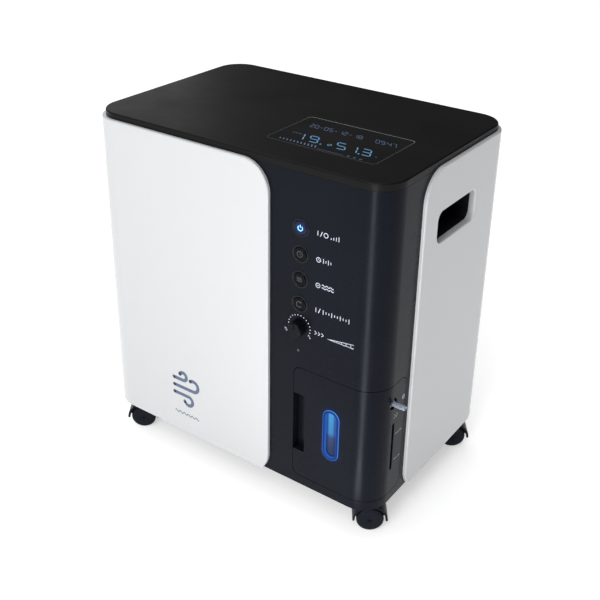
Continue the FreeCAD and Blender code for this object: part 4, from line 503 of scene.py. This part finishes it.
class Sheet:
    """A drawing surface: flat outlines in (right, up) metres, raised a hair along its normal.

    Where the face is hollow, sink(x, y) says how deep it lies.
    """

    def __init__(self, origin, right, up, thick=PRINT, sink=None):
        self.origin = Vector(origin)
        self.right, self.up = Vector(right), Vector(up)
        self.normal = self.right.cross(self.up)
        self.mesh = bmesh.new()
        self.thick = thick
        self.sink = sink or (lambda x, y: 0.0)

    def at(self, x, y, lift=0.0):
        """The point of the room at a place on the sheet."""
        return self.origin + self.right * x + self.up * y + self.normal * (lift - self.sink(x, y))

    def polygon(self, points):
        """A closed prism over the outline, as thick as the ink."""
        low = [self.mesh.verts.new(self.at(x, y)) for x, y in points]
        high = [self.mesh.verts.new(self.at(x, y, self.thick)) for x, y in points]
        self.mesh.faces.new(high)
        self.mesh.faces.new(reversed(low))
        count = len(points)
        for n in range(count):
            m = (n + 1) % count
            self.mesh.faces.new((low[n], low[m], high[m], high[n]))

    def band(self, inner, outer):
        """A closed ring between two outlines with the same number of points."""
        count = len(inner)
        rows = []
        for points, lift in ((inner, 0.0), (outer, 0.0), (outer, self.thick), (inner, self.thick)):
            rows.append([self.mesh.verts.new(self.at(x, y, lift)) for x, y in points])
        for n in range(count):
            m = (n + 1) % count
            for a, b in ((0, 3), (3, 2), (2, 1), (1, 0)):
                self.mesh.faces.new((rows[a][n], rows[b][n], rows[b][m], rows[a][m]))

    def bar(self, x, y, length, width, angle=0.0):
        """A straight stroke with round ends, centred on a point."""
        half, radius = length / 2 - width / 2, width / 2
        outline = []
        for end, start in ((1, -90), (-1, 90)):
            for step in range(7):
                turn = math.radians(start + 30 * step)
                outline.append((end * half + radius * math.cos(turn), radius * math.sin(turn)))
        tilt = math.radians(angle)
        c, s = math.cos(tilt), math.sin(tilt)
        self.polygon([(x + px * c - py * s, y + px * s + py * c) for px, py in outline])

    def stroke(self, points, width):
        """A bent line of one width along points, with square ends."""
        left, right = [], []
        for n, (x, y) in enumerate(points):
            before, after = points[max(n - 1, 0)], points[min(n + 1, len(points) - 1)]
            dx, dy = after[0] - before[0], after[1] - before[1]
            size = math.hypot(dx, dy)
            nx, ny = -dy / size * width / 2, dx / size * width / 2
            left.append((x + nx, y + ny))
            right.append((x - nx, y - ny))
        for n in range(len(points) - 1):
            self.polygon([right[n], right[n + 1], left[n + 1], left[n]])

    def arc(self, x, y, radius, width, start, end, steps=32):
        """A round line about a point, from one angle to another in degrees."""
        spots = []
        for step in range(steps + 1):
            turn = math.radians(start + (end - start) * step / steps)
            spots.append((x + radius * math.cos(turn), y + radius * math.sin(turn)))
        self.stroke(spots, width)

    def ring(self, x, y, radius, width, steps=32):
        self.arc(x, y, radius, width, 0, 360, steps)

    def dot(self, x, y, radius):
        corners = 20
        turns = [2 * math.pi * n / corners for n in range(corners)]
        self.polygon([(x + radius * math.cos(t), y + radius * math.sin(t)) for t in turns])

    def piece(self, name, look, body):
        """Close the drawing into one object that rides on a body."""
        data = bpy.data.meshes.new(name)
        bmesh.ops.remove_doubles(self.mesh, verts=self.mesh.verts, dist=1e-8)
        bmesh.ops.recalc_face_normals(self.mesh, faces=self.mesh.faces)
        self.mesh.to_mesh(data)
        self.mesh.free()
        obj = bpy.data.objects.new(name, data)
        bpy.context.scene.collection.objects.link(obj)
        data.materials.append(LOOKS[look])
        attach(obj, body)


def rounded(wide, tall, radius, steps=8):
    """The outline of a round-cornered rectangle about the origin."""
    outline = []
    for cx, cy, start in ((1, -1, -90), (1, 1, 0), (-1, 1, 90), (-1, -1, 180)):
        for step in range(steps + 1):
            turn = math.radians(start + 90 * step / steps)
            x = cx * (wide / 2 - radius) + radius * math.cos(turn)
            y = cy * (tall / 2 - radius) + radius * math.sin(turn)
            outline.append((x, y))
    return outline


# The lit strokes of each figure: a is the top, then clockwise to f, and g is the middle.
SEGMENTS = {
    "0": "abcdef",
    "1": "bc",
    "2": "abged",
    "3": "abgcd",
    "4": "fgbc",
    "5": "afgcd",
    "7": "abc",
    "8": "abcdefg",
    "9": "abcdfg",
    "-": "g",
}

# How far a figure's top leans to the right for its height; below nought it leans to the left.
SLANT = -0.44


def digit(sheet, character, x, y, tall, wide, pen):
    """A slanted seven-segment figure with its lower left corner at a point."""
    half = tall / 2
    ends = {
        "a": ((0, tall), (wide, tall)),
        "b": ((wide, tall), (wide, half)),
        "c": ((wide, half), (wide, 0)),
        "d": ((0, 0), (wide, 0)),
        "e": ((0, half), (0, 0)),
        "f": ((0, tall), (0, half)),
        "g": ((0, half), (wide, half)),
    }
    gap, inset = pen * 0.35, pen / 2
    for name in SEGMENTS[character]:
        (x0, y0), (x1, y1) = ends[name]
        dx, dy = x1 - x0, y1 - y0
        size = math.hypot(dx, dy)
        ux, uy = dx / size, dy / size
        nx, ny = -uy * pen / 2, ux * pen / 2
        a = (x0 + ux * gap, y0 + uy * gap)
        b = (x1 - ux * gap, y1 - uy * gap)
        shape = [
            a,
            (a[0] + ux * inset - nx, a[1] + uy * inset - ny),
            (b[0] - ux * inset - nx, b[1] - uy * inset - ny),
            b,
            (b[0] - ux * inset + nx, b[1] - uy * inset + ny),
            (a[0] + ux * inset + nx, a[1] + uy * inset + ny),
        ]
        sheet.polygon([(x + px + py * SLANT, y + py) for px, py in shape])


def write(sheet, text, x, y, size, pitch):
    """A row of figures; a colon takes less than a third of a place."""
    tall, _, pen = size
    for character in text:
        if character == ":":
            for up in (0.3, 0.7):
                sheet.dot(x - pitch * 0.1 + tall * up * SLANT, y + tall * up, pen * 0.6)
            x += pitch * 0.3
        else:
            digit(sheet, character, x, y, *size)
            x += pitch


# Each size of figure on the display: its height, its width and the width of its strokes.
FIGURE = (15 * MM, 9.5 * MM, 1.4 * MM)
LEGEND = (8.5 * MM, 3.9 * MM, 0.85 * MM)
LEGEND_PITCH = 5.8 * MM

# How far the foot of each row lies from the display's near edge.
FIGURE_ROW = 15.8 * MM
LEGEND_ROW = 52 * MM


def edge_paint_with_highlight(near, far):
    """The window's grey edge line, lightest along its far side, where a highlight is painted."""
    paint = Paint("lens_edge", (0.13, 0.14, 0.13), 0.4)
    reach = paint.remap(paint.axes()[1], 0.0, 1.0, near, far)
    # Painted highlight: the edge line turns light towards its far side.
    stops = (
        (0.1, (0.06, 0.065, 0.06)),
        (0.9, (0.11, 0.12, 0.12)),
        (1.0, (0.3, 0.32, 0.34)),
    )
    paint.feed("Base Color", paint.ramp(reach, *stops))
    return paint.material


def make_display():
    """The lit read-outs, and the light edge line of the lid's window with its painted highlight
    along the far side.
    """
    low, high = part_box("display_lens")
    wide, deep = high.x - low.x, high.y - low.y
    middle = ((low.x + high.x) / 2, (low.y + high.y) / 2, high.z)
    inner = rounded(wide - 1.2 * MM, deep - 1.2 * MM, 4.4 * MM)
    outer = rounded(wide - 0.1 * MM, deep - 0.1 * MM, 4.95 * MM)
    edge = Sheet(middle, X, Y)
    edge.band(inner, outer)
    LOOKS["lens_edge"] = edge_paint_with_highlight(low.y, high.y)
    edge.piece("display_edge", "lens_edge", "cabinet")

    corner = (low.x, low.y, high.z)
    big = Sheet(corner, X, Y)
    for figure, x in (("1", 24.5), ("9", 41.5), ("5", 73.5), ("1", 86.5), ("3", 102.0)):
        digit(big, figure, x * MM, FIGURE_ROW, *FIGURE)
    for x in (55.5, 99.2):
        big.dot(x * MM, FIGURE_ROW, 1.1 * MM)
    big.ring(64 * MM, 19.2 * MM, 2.0 * MM, 0.8 * MM)
    big.piece("display_figures", "digit", "cabinet")

    # Two rows of legends, a gauge of leaning bars, rules and dashes, and three small rings.
    small = Sheet(corner, X, Y)
    write(small, "20-05-12-18", 18 * MM, LEGEND_ROW, LEGEND, LEGEND_PITCH)
    write(small, "09:47", 96 * MM, LEGEND_ROW, LEGEND, LEGEND_PITCH)
    for n in range(11):
        small.bar((13.5 + n * 4.2) * MM, 7.2 * MM, (3.5 + 0.35 * n) * MM, 1.5 * MM, 118)
    small.bar(75 * MM, 3.6 * MM, 30 * MM, 0.5 * MM)
    for n in range(4):
        small.bar((14.5 + n * 3.0) * MM, 28.6 * MM, 2.2 * MM, 1.0 * MM)
    for n in range(3):
        small.ring((95 + n * 6.8) * MM, 4.4 * MM, 1.2 * MM, 0.6 * MM, 12)
    small.bar(117 * MM, 18.6 * MM, 2.4 * MM, 0.8 * MM)
    small.piece("display_legends", "small_digit", "cabinet")


# How deep the middle of a button's cap lies below its rim, and how far out the hollow goes.
CAP_HOLLOW = 0.5 * MM
HOLLOW_RADIUS = 4.5 * MM


def dish(x, y):
    """How far a button's cap lies below its rim at a point."""
    return CAP_HOLLOW * max(0.0, 1 - math.hypot(x, y) / HOLLOW_RADIUS)


def front_sheet(x, z):
    """A drawing surface on the front column, about a point."""
    low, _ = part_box("front_panel")
    return Sheet((x, low.y, z), X, Z)


# The marks beside the buttons: how far they start from a button's middle, and their stroke.
LABEL_START = 18.5 * MM
PEN = 0.8 * MM
THIN_PEN = 0.6 * MM


def label_sheet(node):
    """A drawing surface for the marks beside a button or the knob."""
    return front_sheet(centre("button_power").x + LABEL_START, centre(node).z)


def make_labels():
    """Generic signs beside the four buttons and the knob, where the photograph has words."""
    power = label_sheet("button_power")
    power.bar(1.0 * MM, 0, 5.2 * MM, PEN, 90)
    power.bar(5.0 * MM, 0, 6.0 * MM, PEN, 68)
    power.ring(10.2 * MM, 0, 2.3 * MM, PEN)
    for n in range(4):
        spot = ((16.0 + n * 2.9) * MM, (-1.6 + n * 0.5) * MM)
        power.bar(*spot, (2.0 + n * 1.0) * MM, PEN, 90)
    power.piece("mark_power", "ink", "cabinet")

    timer = label_sheet("button_timer")
    timer.ring(2.6 * MM, 0, 2.4 * MM, 0.7 * MM)
    timer.stroke([(2.6 * MM, 1.5 * MM), (2.6 * MM, 0), (3.9 * MM, -0.5 * MM)], 0.5 * MM)
    for n in range(4):
        timer.bar((8.2 + n * 2.8) * MM, 0, (5.2 - 2.6 * (n % 2)) * MM, PEN, 90)
    timer.piece("mark_timer", "ink", "cabinet")

    ion = label_sheet("button_ion")
    ion.ring(2.6 * MM, 0, 2.4 * MM, 0.7 * MM)
    ion.bar(2.6 * MM, 0, 2.4 * MM, THIN_PEN)
    for up in (-1.5, 1.5):
        wave = [((7.2 + k * 0.5) * MM, (up + 0.7 * math.sin(k * 0.7)) * MM) for k in range(28)]
        ion.stroke(wave, PEN)
    ion.piece("mark_ion", "ink", "cabinet")

    mode = label_sheet("button_mode")
    mode.bar(1.0 * MM, 0, 5.2 * MM, PEN, 90)
    mode.bar(5.0 * MM, 0, 6.0 * MM, PEN, 68)
    for n in range(10):
        mode.bar((9.6 + n * 3.3) * MM, 0, (5.2 - 2.4 * (n % 3 > 0)) * MM, PEN, 90)
    mode.piece("mark_mode", "ink", "cabinet")

    # Three arrow heads, and a wedge ruled with upright bars that grow with it.
    flow = label_sheet("flow_knob")
    for n in range(3):
        tip = (1.5 + n * 4.0) * MM
        head = [(tip - 1.2 * MM, 2.0 * MM), (tip + 1.0 * MM, 0), (tip - 1.2 * MM, -2.0 * MM)]
        flow.stroke(head, PEN)
    wedge = [(15 * MM, -2.0 * MM), (46 * MM, -2.0 * MM), (46 * MM, 2.2 * MM)]
    flow.stroke(wedge + [wedge[0]], THIN_PEN)
    for n in range(5):
        x = 21 + n * 5.4
        tall = (x - 15) * 4.2 / 31 * MM
        flow.bar(x * MM, (-2.0 + (x - 15) * 4.2 / 62) * MM, tall, THIN_PEN, 90)
    flow.piece("mark_flow", "ink", "cabinet")


def make_knob_scale():
    """A ring of dots round the flow knob, from nought to five."""
    dots, first, sweep, radius = 14, 193, 206, 13.2 * MM
    tall, wide, pen = 3.2 * MM, 1.7 * MM, 0.62 * MM
    knob = centre("flow_knob")
    scale = front_sheet(knob.x, knob.z)
    for n in range(dots):
        turn = math.radians(first - n * sweep / (dots - 1))
        scale.dot(radius * math.cos(turn), radius * math.sin(turn), pen)
    digit(scale, "0", -16.4 * MM, -9.6 * MM, tall, wide, pen)
    digit(scale, "5", 12.2 * MM, -9.2 * MM, tall, wide, pen)
    scale.piece("knob_scale", "ink", "cabinet")


def cap_sheet(node):
    """A drawing surface in the hollow of a button's cap."""
    low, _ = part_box(node)
    spot = centre(node)
    return Sheet((spot.x, low.y, spot.z), X, Z, THICK_PRINT, dish)


def make_cap_symbols():
    """The lit power sign, and a clock, waves and a turning arrow on the other caps."""
    power = cap_sheet("button_power")
    power.arc(0, 0, 2.6 * MM, 0.9 * MM, 128, 412)
    power.bar(0, 2.2 * MM, 3.2 * MM, 0.9 * MM, 90)
    power.piece("button_power_symbol", "power", "press_power")

    timer = cap_sheet("button_timer")
    timer.ring(0, 0, 3.1 * MM, THIN_PEN)
    timer.stroke([(0, 1.8 * MM), (0, 0), (1.4 * MM, -0.6 * MM)], THIN_PEN)
    timer.piece("button_timer_symbol", "faint_ink", "press_timer")

    ion = cap_sheet("button_ion")
    for n in range(3):
        height = 1.8 - n * 1.8
        wave = [((-3 + k * 0.4) * MM, (height + 0.5 * math.sin(k * 0.8)) * MM) for k in range(16)]
        ion.stroke(wave, 0.55 * MM)
    ion.piece("button_ion_symbol", "faint_ink", "press_ion")

    mode = cap_sheet("button_mode")
    mode.arc(0, 0, 3.0 * MM, 0.7 * MM, 60, 330)
    mode.polygon([(1.2 * MM, 3.9 * MM), (1.2 * MM, 1.5 * MM), (3.3 * MM, 2.7 * MM)])
    mode.piece("button_mode_symbol", "faint_ink", "press_mode")


# The emblem's distance left of the buttons, its height above the floor and its stroke, the
# height of the rule below it, and half its width in millimetres.
EMBLEM_LEFT = 153 * MM
EMBLEM_UP = 108 * MM
EMBLEM_PEN = 4.4 * MM
RULE_UP = 70 * MM
EMBLEM_HALF = 18


def make_emblem():
    """A generic sign for moving air, low on the left cover: three curls over a wavy rule."""
    low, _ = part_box("left_cover")
    middle = centre("button_power").x - EMBLEM_LEFT
    sheet = Sheet((middle, low.y, EMBLEM_UP), X, Z, THICK_PRINT)
    # Each line: its height, its straight length, and its curl's radius, side and sweep.
    lines = ((8, 14, 5.0, 1, 250), (-2, 29, 7.0, 1, 220), (-12, 21, 6.0, -1, 250))
    for up, length, radius, side, sweep in lines:
        straight = [((k / 8 * length - EMBLEM_HALF) * MM, up * MM) for k in range(9)]
        cx, cy = (length - EMBLEM_HALF) * MM, (up + side * radius) * MM
        curl = []
        for step in range(1, 25):
            turn = math.radians(side * (-90 + sweep * step / 24))
            curl.append((cx + radius * MM * math.cos(turn), cy + radius * MM * math.sin(turn)))
        sheet.stroke(straight + curl, EMBLEM_PEN)
        for spot in (straight[0], curl[-1]):
            sheet.dot(*spot, EMBLEM_PEN / 2)
    sheet.piece("air_emblem", "slate_ink", "cabinet")
    rule = Sheet((middle, low.y, RULE_UP), X, Z, THICK_PRINT)
    wave = [((-EMBLEM_HALF + k * 0.6) * MM, 1.3 * MM * math.sin(k * 0.62)) for k in range(61)]
    rule.stroke(wave, 1.1 * MM)
    rule.piece("air_wave", "slate_ink", "cabinet")


def make_drawer_marks():
    """Level lines by the sight slit, and a ring and two arrow heads by the outlet."""
    low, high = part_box("level_lens")
    nozzle_low, nozzle_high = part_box("outlet_nozzle")
    face_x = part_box("drawer_front")[1].x
    sheet = Sheet((face_x, (low.y + high.y) / 2, 0), Y, Z)
    fine = 0.45 * MM
    for z in (129, 96):
        sheet.bar(9 * MM, z * MM, 7 * MM, fine)
        for n in range(3):
            sheet.bar((14.5 + n * 1.4) * MM, z * MM, 1.9 * MM, fine, 90)
    nozzle_z = (nozzle_low.z + nozzle_high.z) / 2
    sheet.ring(17.5 * MM, nozzle_z - 2 * MM, 2.2 * MM, THIN_PEN)
    sheet.dot(17.5 * MM, nozzle_z - 2 * MM, 0.7 * MM)
    foot, tip, top = (nozzle_z - down * MM for down in (20, 17.5, 15))
    for n in range(2):
        x = (2.5 + n * 4) * MM
        head = [(x - 1.6 * MM, foot), (x + 1.2 * MM, tip), (x - 1.6 * MM, top)]
        sheet.stroke(head, THIN_PEN)
    sheet.piece("drawer_marks", "ink", "humidifier_drawer")


make_display()
make_labels()
make_knob_scale()
make_cap_symbols()
make_emblem()
make_drawer_marks()


# --------------------------------------------------------------------------------------
# Water and light behind the window
# --------------------------------------------------------------------------------------

# How far the lit view lies behind the front, how far in from the ring's sides its light
# starts, and how much smaller than the ring's its end radius is.
VIEW_DEPTH = 1.45 * MM
VIEW_EDGE = 3.3 * MM
VIEW_ROUND = 3.45 * MM


def window_paint(low, high):
    """Bright mist above the water line and dark water below, brightest left of the middle."""
    paint = Paint("window_light", (0.01, 0.02, 0.05), 0.1, Specular_IOR_Level=0.08)
    across_axis, _, up_axis = paint.axes()
    mist = paint.ramp(
        paint.remap(up_axis, 0.0, 1.0, low.z, high.z),
        (0.05, (0.004, 0.010, 0.06)),
        (0.2, (0.016, 0.020, 0.05)),
        (0.4, (0.034, 0.042, 0.10)),
        (0.45, (0.03, 0.07, 0.20)),
        (0.52, (0.04, 0.22, 0.50)),
        (0.9, (0.05, 0.31, 0.62)),
        (1.0, (0.03, 0.17, 0.48)),
    )
    beam = paint.ramp(
        paint.remap(across_axis, 0.0, 1.0, low.x + VIEW_EDGE, high.x - VIEW_EDGE),
        (0.0, (0.10, 0.12, 0.30)),
        (0.14, (0.25, 0.30, 0.50)),
        (0.24, (1.0, 1.0, 1.0)),
        (0.58, (0.95, 0.95, 0.95)),
        (0.72, (0.30, 0.32, 0.50)),
        (1.0, (0.15, 0.2, 0.42)),
    )
    paint.feed("Emission Color", paint.multiply(mist, beam))
    paint.shader.inputs["Emission Strength"].default_value = 1.0
    paint.bump(paint.noise(200.0, 2.0), 0.2, 0.3 * MM)
    return paint.material


def make_window_light():
    """The lit view into the tank, a thin sheet inside the window's ring."""
    low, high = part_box("window_ring")
    x, z = (low.x + high.x) / 2, (low.z + high.z) / 2
    wide, tall = high.x - low.x, high.z - low.z
    view_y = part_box("front_panel")[0].y + VIEW_DEPTH
    sheet = Sheet((x, view_y, z), X, Z, 0.1 * MM)
    inset = 2 * GUIDE_WIDE
    sheet.polygon(rounded(wide - inset, tall - inset, wide / 2 - VIEW_ROUND, 12))
    LOOKS["window_light"] = window_paint(low, high)
    sheet.piece("window_light", "window_light", "humidifier_drawer")


make_window_light()


# --------------------------------------------------------------------------------------
# Stage
# --------------------------------------------------------------------------------------

FLOOR_HALF = 6.0
FLOOR_DROP = 0.2 * MM
WHITE = (1.0, 1.0, 1.0, 1.0)


def make_floor():
    """A pale floor that glows a little, so that it stays plain under the object."""
    data = bpy.data.meshes.new("floor")
    sheet = bmesh.new()
    bmesh.ops.create_grid(sheet, x_segments=4, y_segments=4, size=FLOOR_HALF)
    sheet.to_mesh(data)
    sheet.free()
    floor = bpy.data.objects.new("floor", data)
    floor.location.z = -FLOOR_DROP
    bpy.context.scene.collection.objects.link(floor)
    glow = {"Emission_Color": WHITE, "Emission_Strength": 0.5}
    paint = Paint("floor_pale", (0.82, 0.82, 0.825), 0.6, **glow)
    paint.bump(paint.noise(60.0, 3.0), 0.02, 0.1 * MM)
    data.materials.append(paint.material)


# The sky's brightness low down, in the middle and overhead, and the way that is up for it.
SKY_LOW, SKY_MID, SKY_HIGH = 0.02, 0.06, 1.3
SKY_AXIS = (-0.38, -0.12, 0.92)
BACKDROP = (1.05, 1.05, 1.05, 1.0)


def make_sky():
    """A soft studio, dark low down and bright overhead, that looks plain white to the camera."""
    world = bpy.data.worlds.new("studio")
    world.use_nodes = True
    tree = world.node_tree
    background = tree.nodes["Background"]
    coordinate = tree.nodes.new("ShaderNodeTexCoord")
    tilt = tree.nodes.new("ShaderNodeVectorMath")
    tilt.operation = "DOT_PRODUCT"
    tilt.inputs[1].default_value = SKY_AXIS
    tree.links.new(coordinate.outputs["Generated"], tilt.inputs[0])
    ramp = tree.nodes.new("ShaderNodeValToRGB")
    stops = ((0.0, SKY_LOW), (0.45, SKY_MID), (0.95, SKY_HIGH))
    ramp.color_ramp.elements.new(0.5)
    for element, (where, level) in zip(ramp.color_ramp.elements, stops):
        element.position = where
        element.color = (level, level, level * 1.01, 1.0)
    tree.links.new(tilt.outputs["Value"], ramp.inputs["Fac"])
    path = tree.nodes.new("ShaderNodeLightPath")
    mix = tree.nodes.new("ShaderNodeMix")
    mix.data_type = "RGBA"
    colours = [item for item in mix.inputs if item.type == "RGBA"]
    colours[1].default_value = BACKDROP
    tree.links.new(ramp.outputs["Color"], colours[0])
    tree.links.new(path.outputs["Is Camera Ray"], mix.inputs["Factor"])
    mixed = next(item for item in mix.outputs if item.type == "RGBA")
    tree.links.new(mixed, background.inputs["Color"])
    background.inputs["Strength"].default_value = 1.0
    bpy.context.scene.world = world


def add_area(name, size, power, location):
    """An area lamp that the camera doesn't see."""
    lamp = bpy.data.lights.new(name, "AREA")
    lamp.shape = "RECTANGLE"
    lamp.size, lamp.size_y = size
    lamp.energy = power
    obj = bpy.data.objects.new(name, lamp)
    obj.visible_camera = False
    obj.location = location
    bpy.context.scene.collection.objects.link(obj)
    return obj


# Each lamp: its name, size in metres, power in watts, place, and the point that it faces.
LAMPS = (
    ("key", (1.2, 1.2), 36, (0.3, -2.85, 1.5), (0, 0, 0.2)),
    ("rim", (0.8, 0.8), 16, (0.8, -1.7, 2.3), (0.1, 0, 0.2)),
    ("back", (1.0, 0.8), 2, (-2.1, 1.5, 0.95), (0, 0, 0.4)),
)

# The middle of the column's rounded corner, in from its right side and back from its front.
CORNER_IN = 30 * MM
CORNER_BACK = 10 * MM

# The strip on the floor: its watts per square metre, its turn from straight ahead in degrees,
# its height, and each part's near end, far end and width in metres.
STRIP_GLOW = 30
STRIP_TURN = 17
STRIP_HEIGHT = 3 * MM
STRIP_PARTS = ((0.08, 0.25, 0.04), (0.25, 0.6, 0.095), (0.6, 1.3, 0.19))


def add_lamps():
    """The studio's lamps, each facing its point."""
    for name, size, power, place, target in LAMPS:
        obj = add_area(name, size, power, place)
        obj.rotation_mode = "QUATERNION"
        obj.rotation_quaternion = (Vector(target) - obj.location).to_track_quat("-Z", "Y")


def add_floor_strip():
    """Panels facing up, wider with distance, that the column's corner mirrors as a band."""
    low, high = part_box("front_panel")
    corner = Vector((high.x - CORNER_IN, low.y + CORNER_BACK, 0.0))
    away = math.radians(STRIP_TURN)
    run = Vector((math.sin(away), -math.cos(away), 0.0))
    for near, far, wide in STRIP_PARTS:
        size = (wide, far - near)
        spot = corner + run * (near + far) / 2
        power = STRIP_GLOW * wide * (far - near)
        obj = add_area(f"strip_{near}", size, power, (spot.x, spot.y, STRIP_HEIGHT))
        obj.rotation_euler = (math.pi, 0.0, away)


# The camera: degrees round from the front, up and about its own axis, its place and its lens.
AZIMUTH, ELEVATION, ROLL = 34.92, 25.79, 0.98
EYE = Vector((0.54945, -0.78972, 0.73171))
SENSOR_MM = 36.0
LENS_MM = 56.88
SHIFT_UP = -0.1


def make_camera():
    """The photograph's view, fitted to the corners of the object."""
    data = bpy.data.cameras.new("camera")
    data.sensor_width = SENSOR_MM
    data.lens = LENS_MM
    data.shift_y = SHIFT_UP
    camera = bpy.data.objects.new("camera", data)
    bpy.context.scene.collection.objects.link(camera)
    a, e = math.radians(AZIMUTH), math.radians(ELEVATION)
    back = Vector((math.sin(a) * math.cos(e), -math.cos(a) * math.cos(e), math.sin(e)))
    turn = (-back).to_track_quat("-Z", "Y").to_matrix().to_4x4()
    roll = Matrix.Rotation(math.radians(ROLL), 4, "Z")
    camera.matrix_world = Matrix.Translation(EYE) @ turn @ roll
    bpy.context.scene.camera = camera


make_floor()
make_sky()
add_lamps()
add_floor_strip()
bpy.context.scene.view_settings.view_transform = "Standard"
make_camera()

bpy.context.view_layer.update()
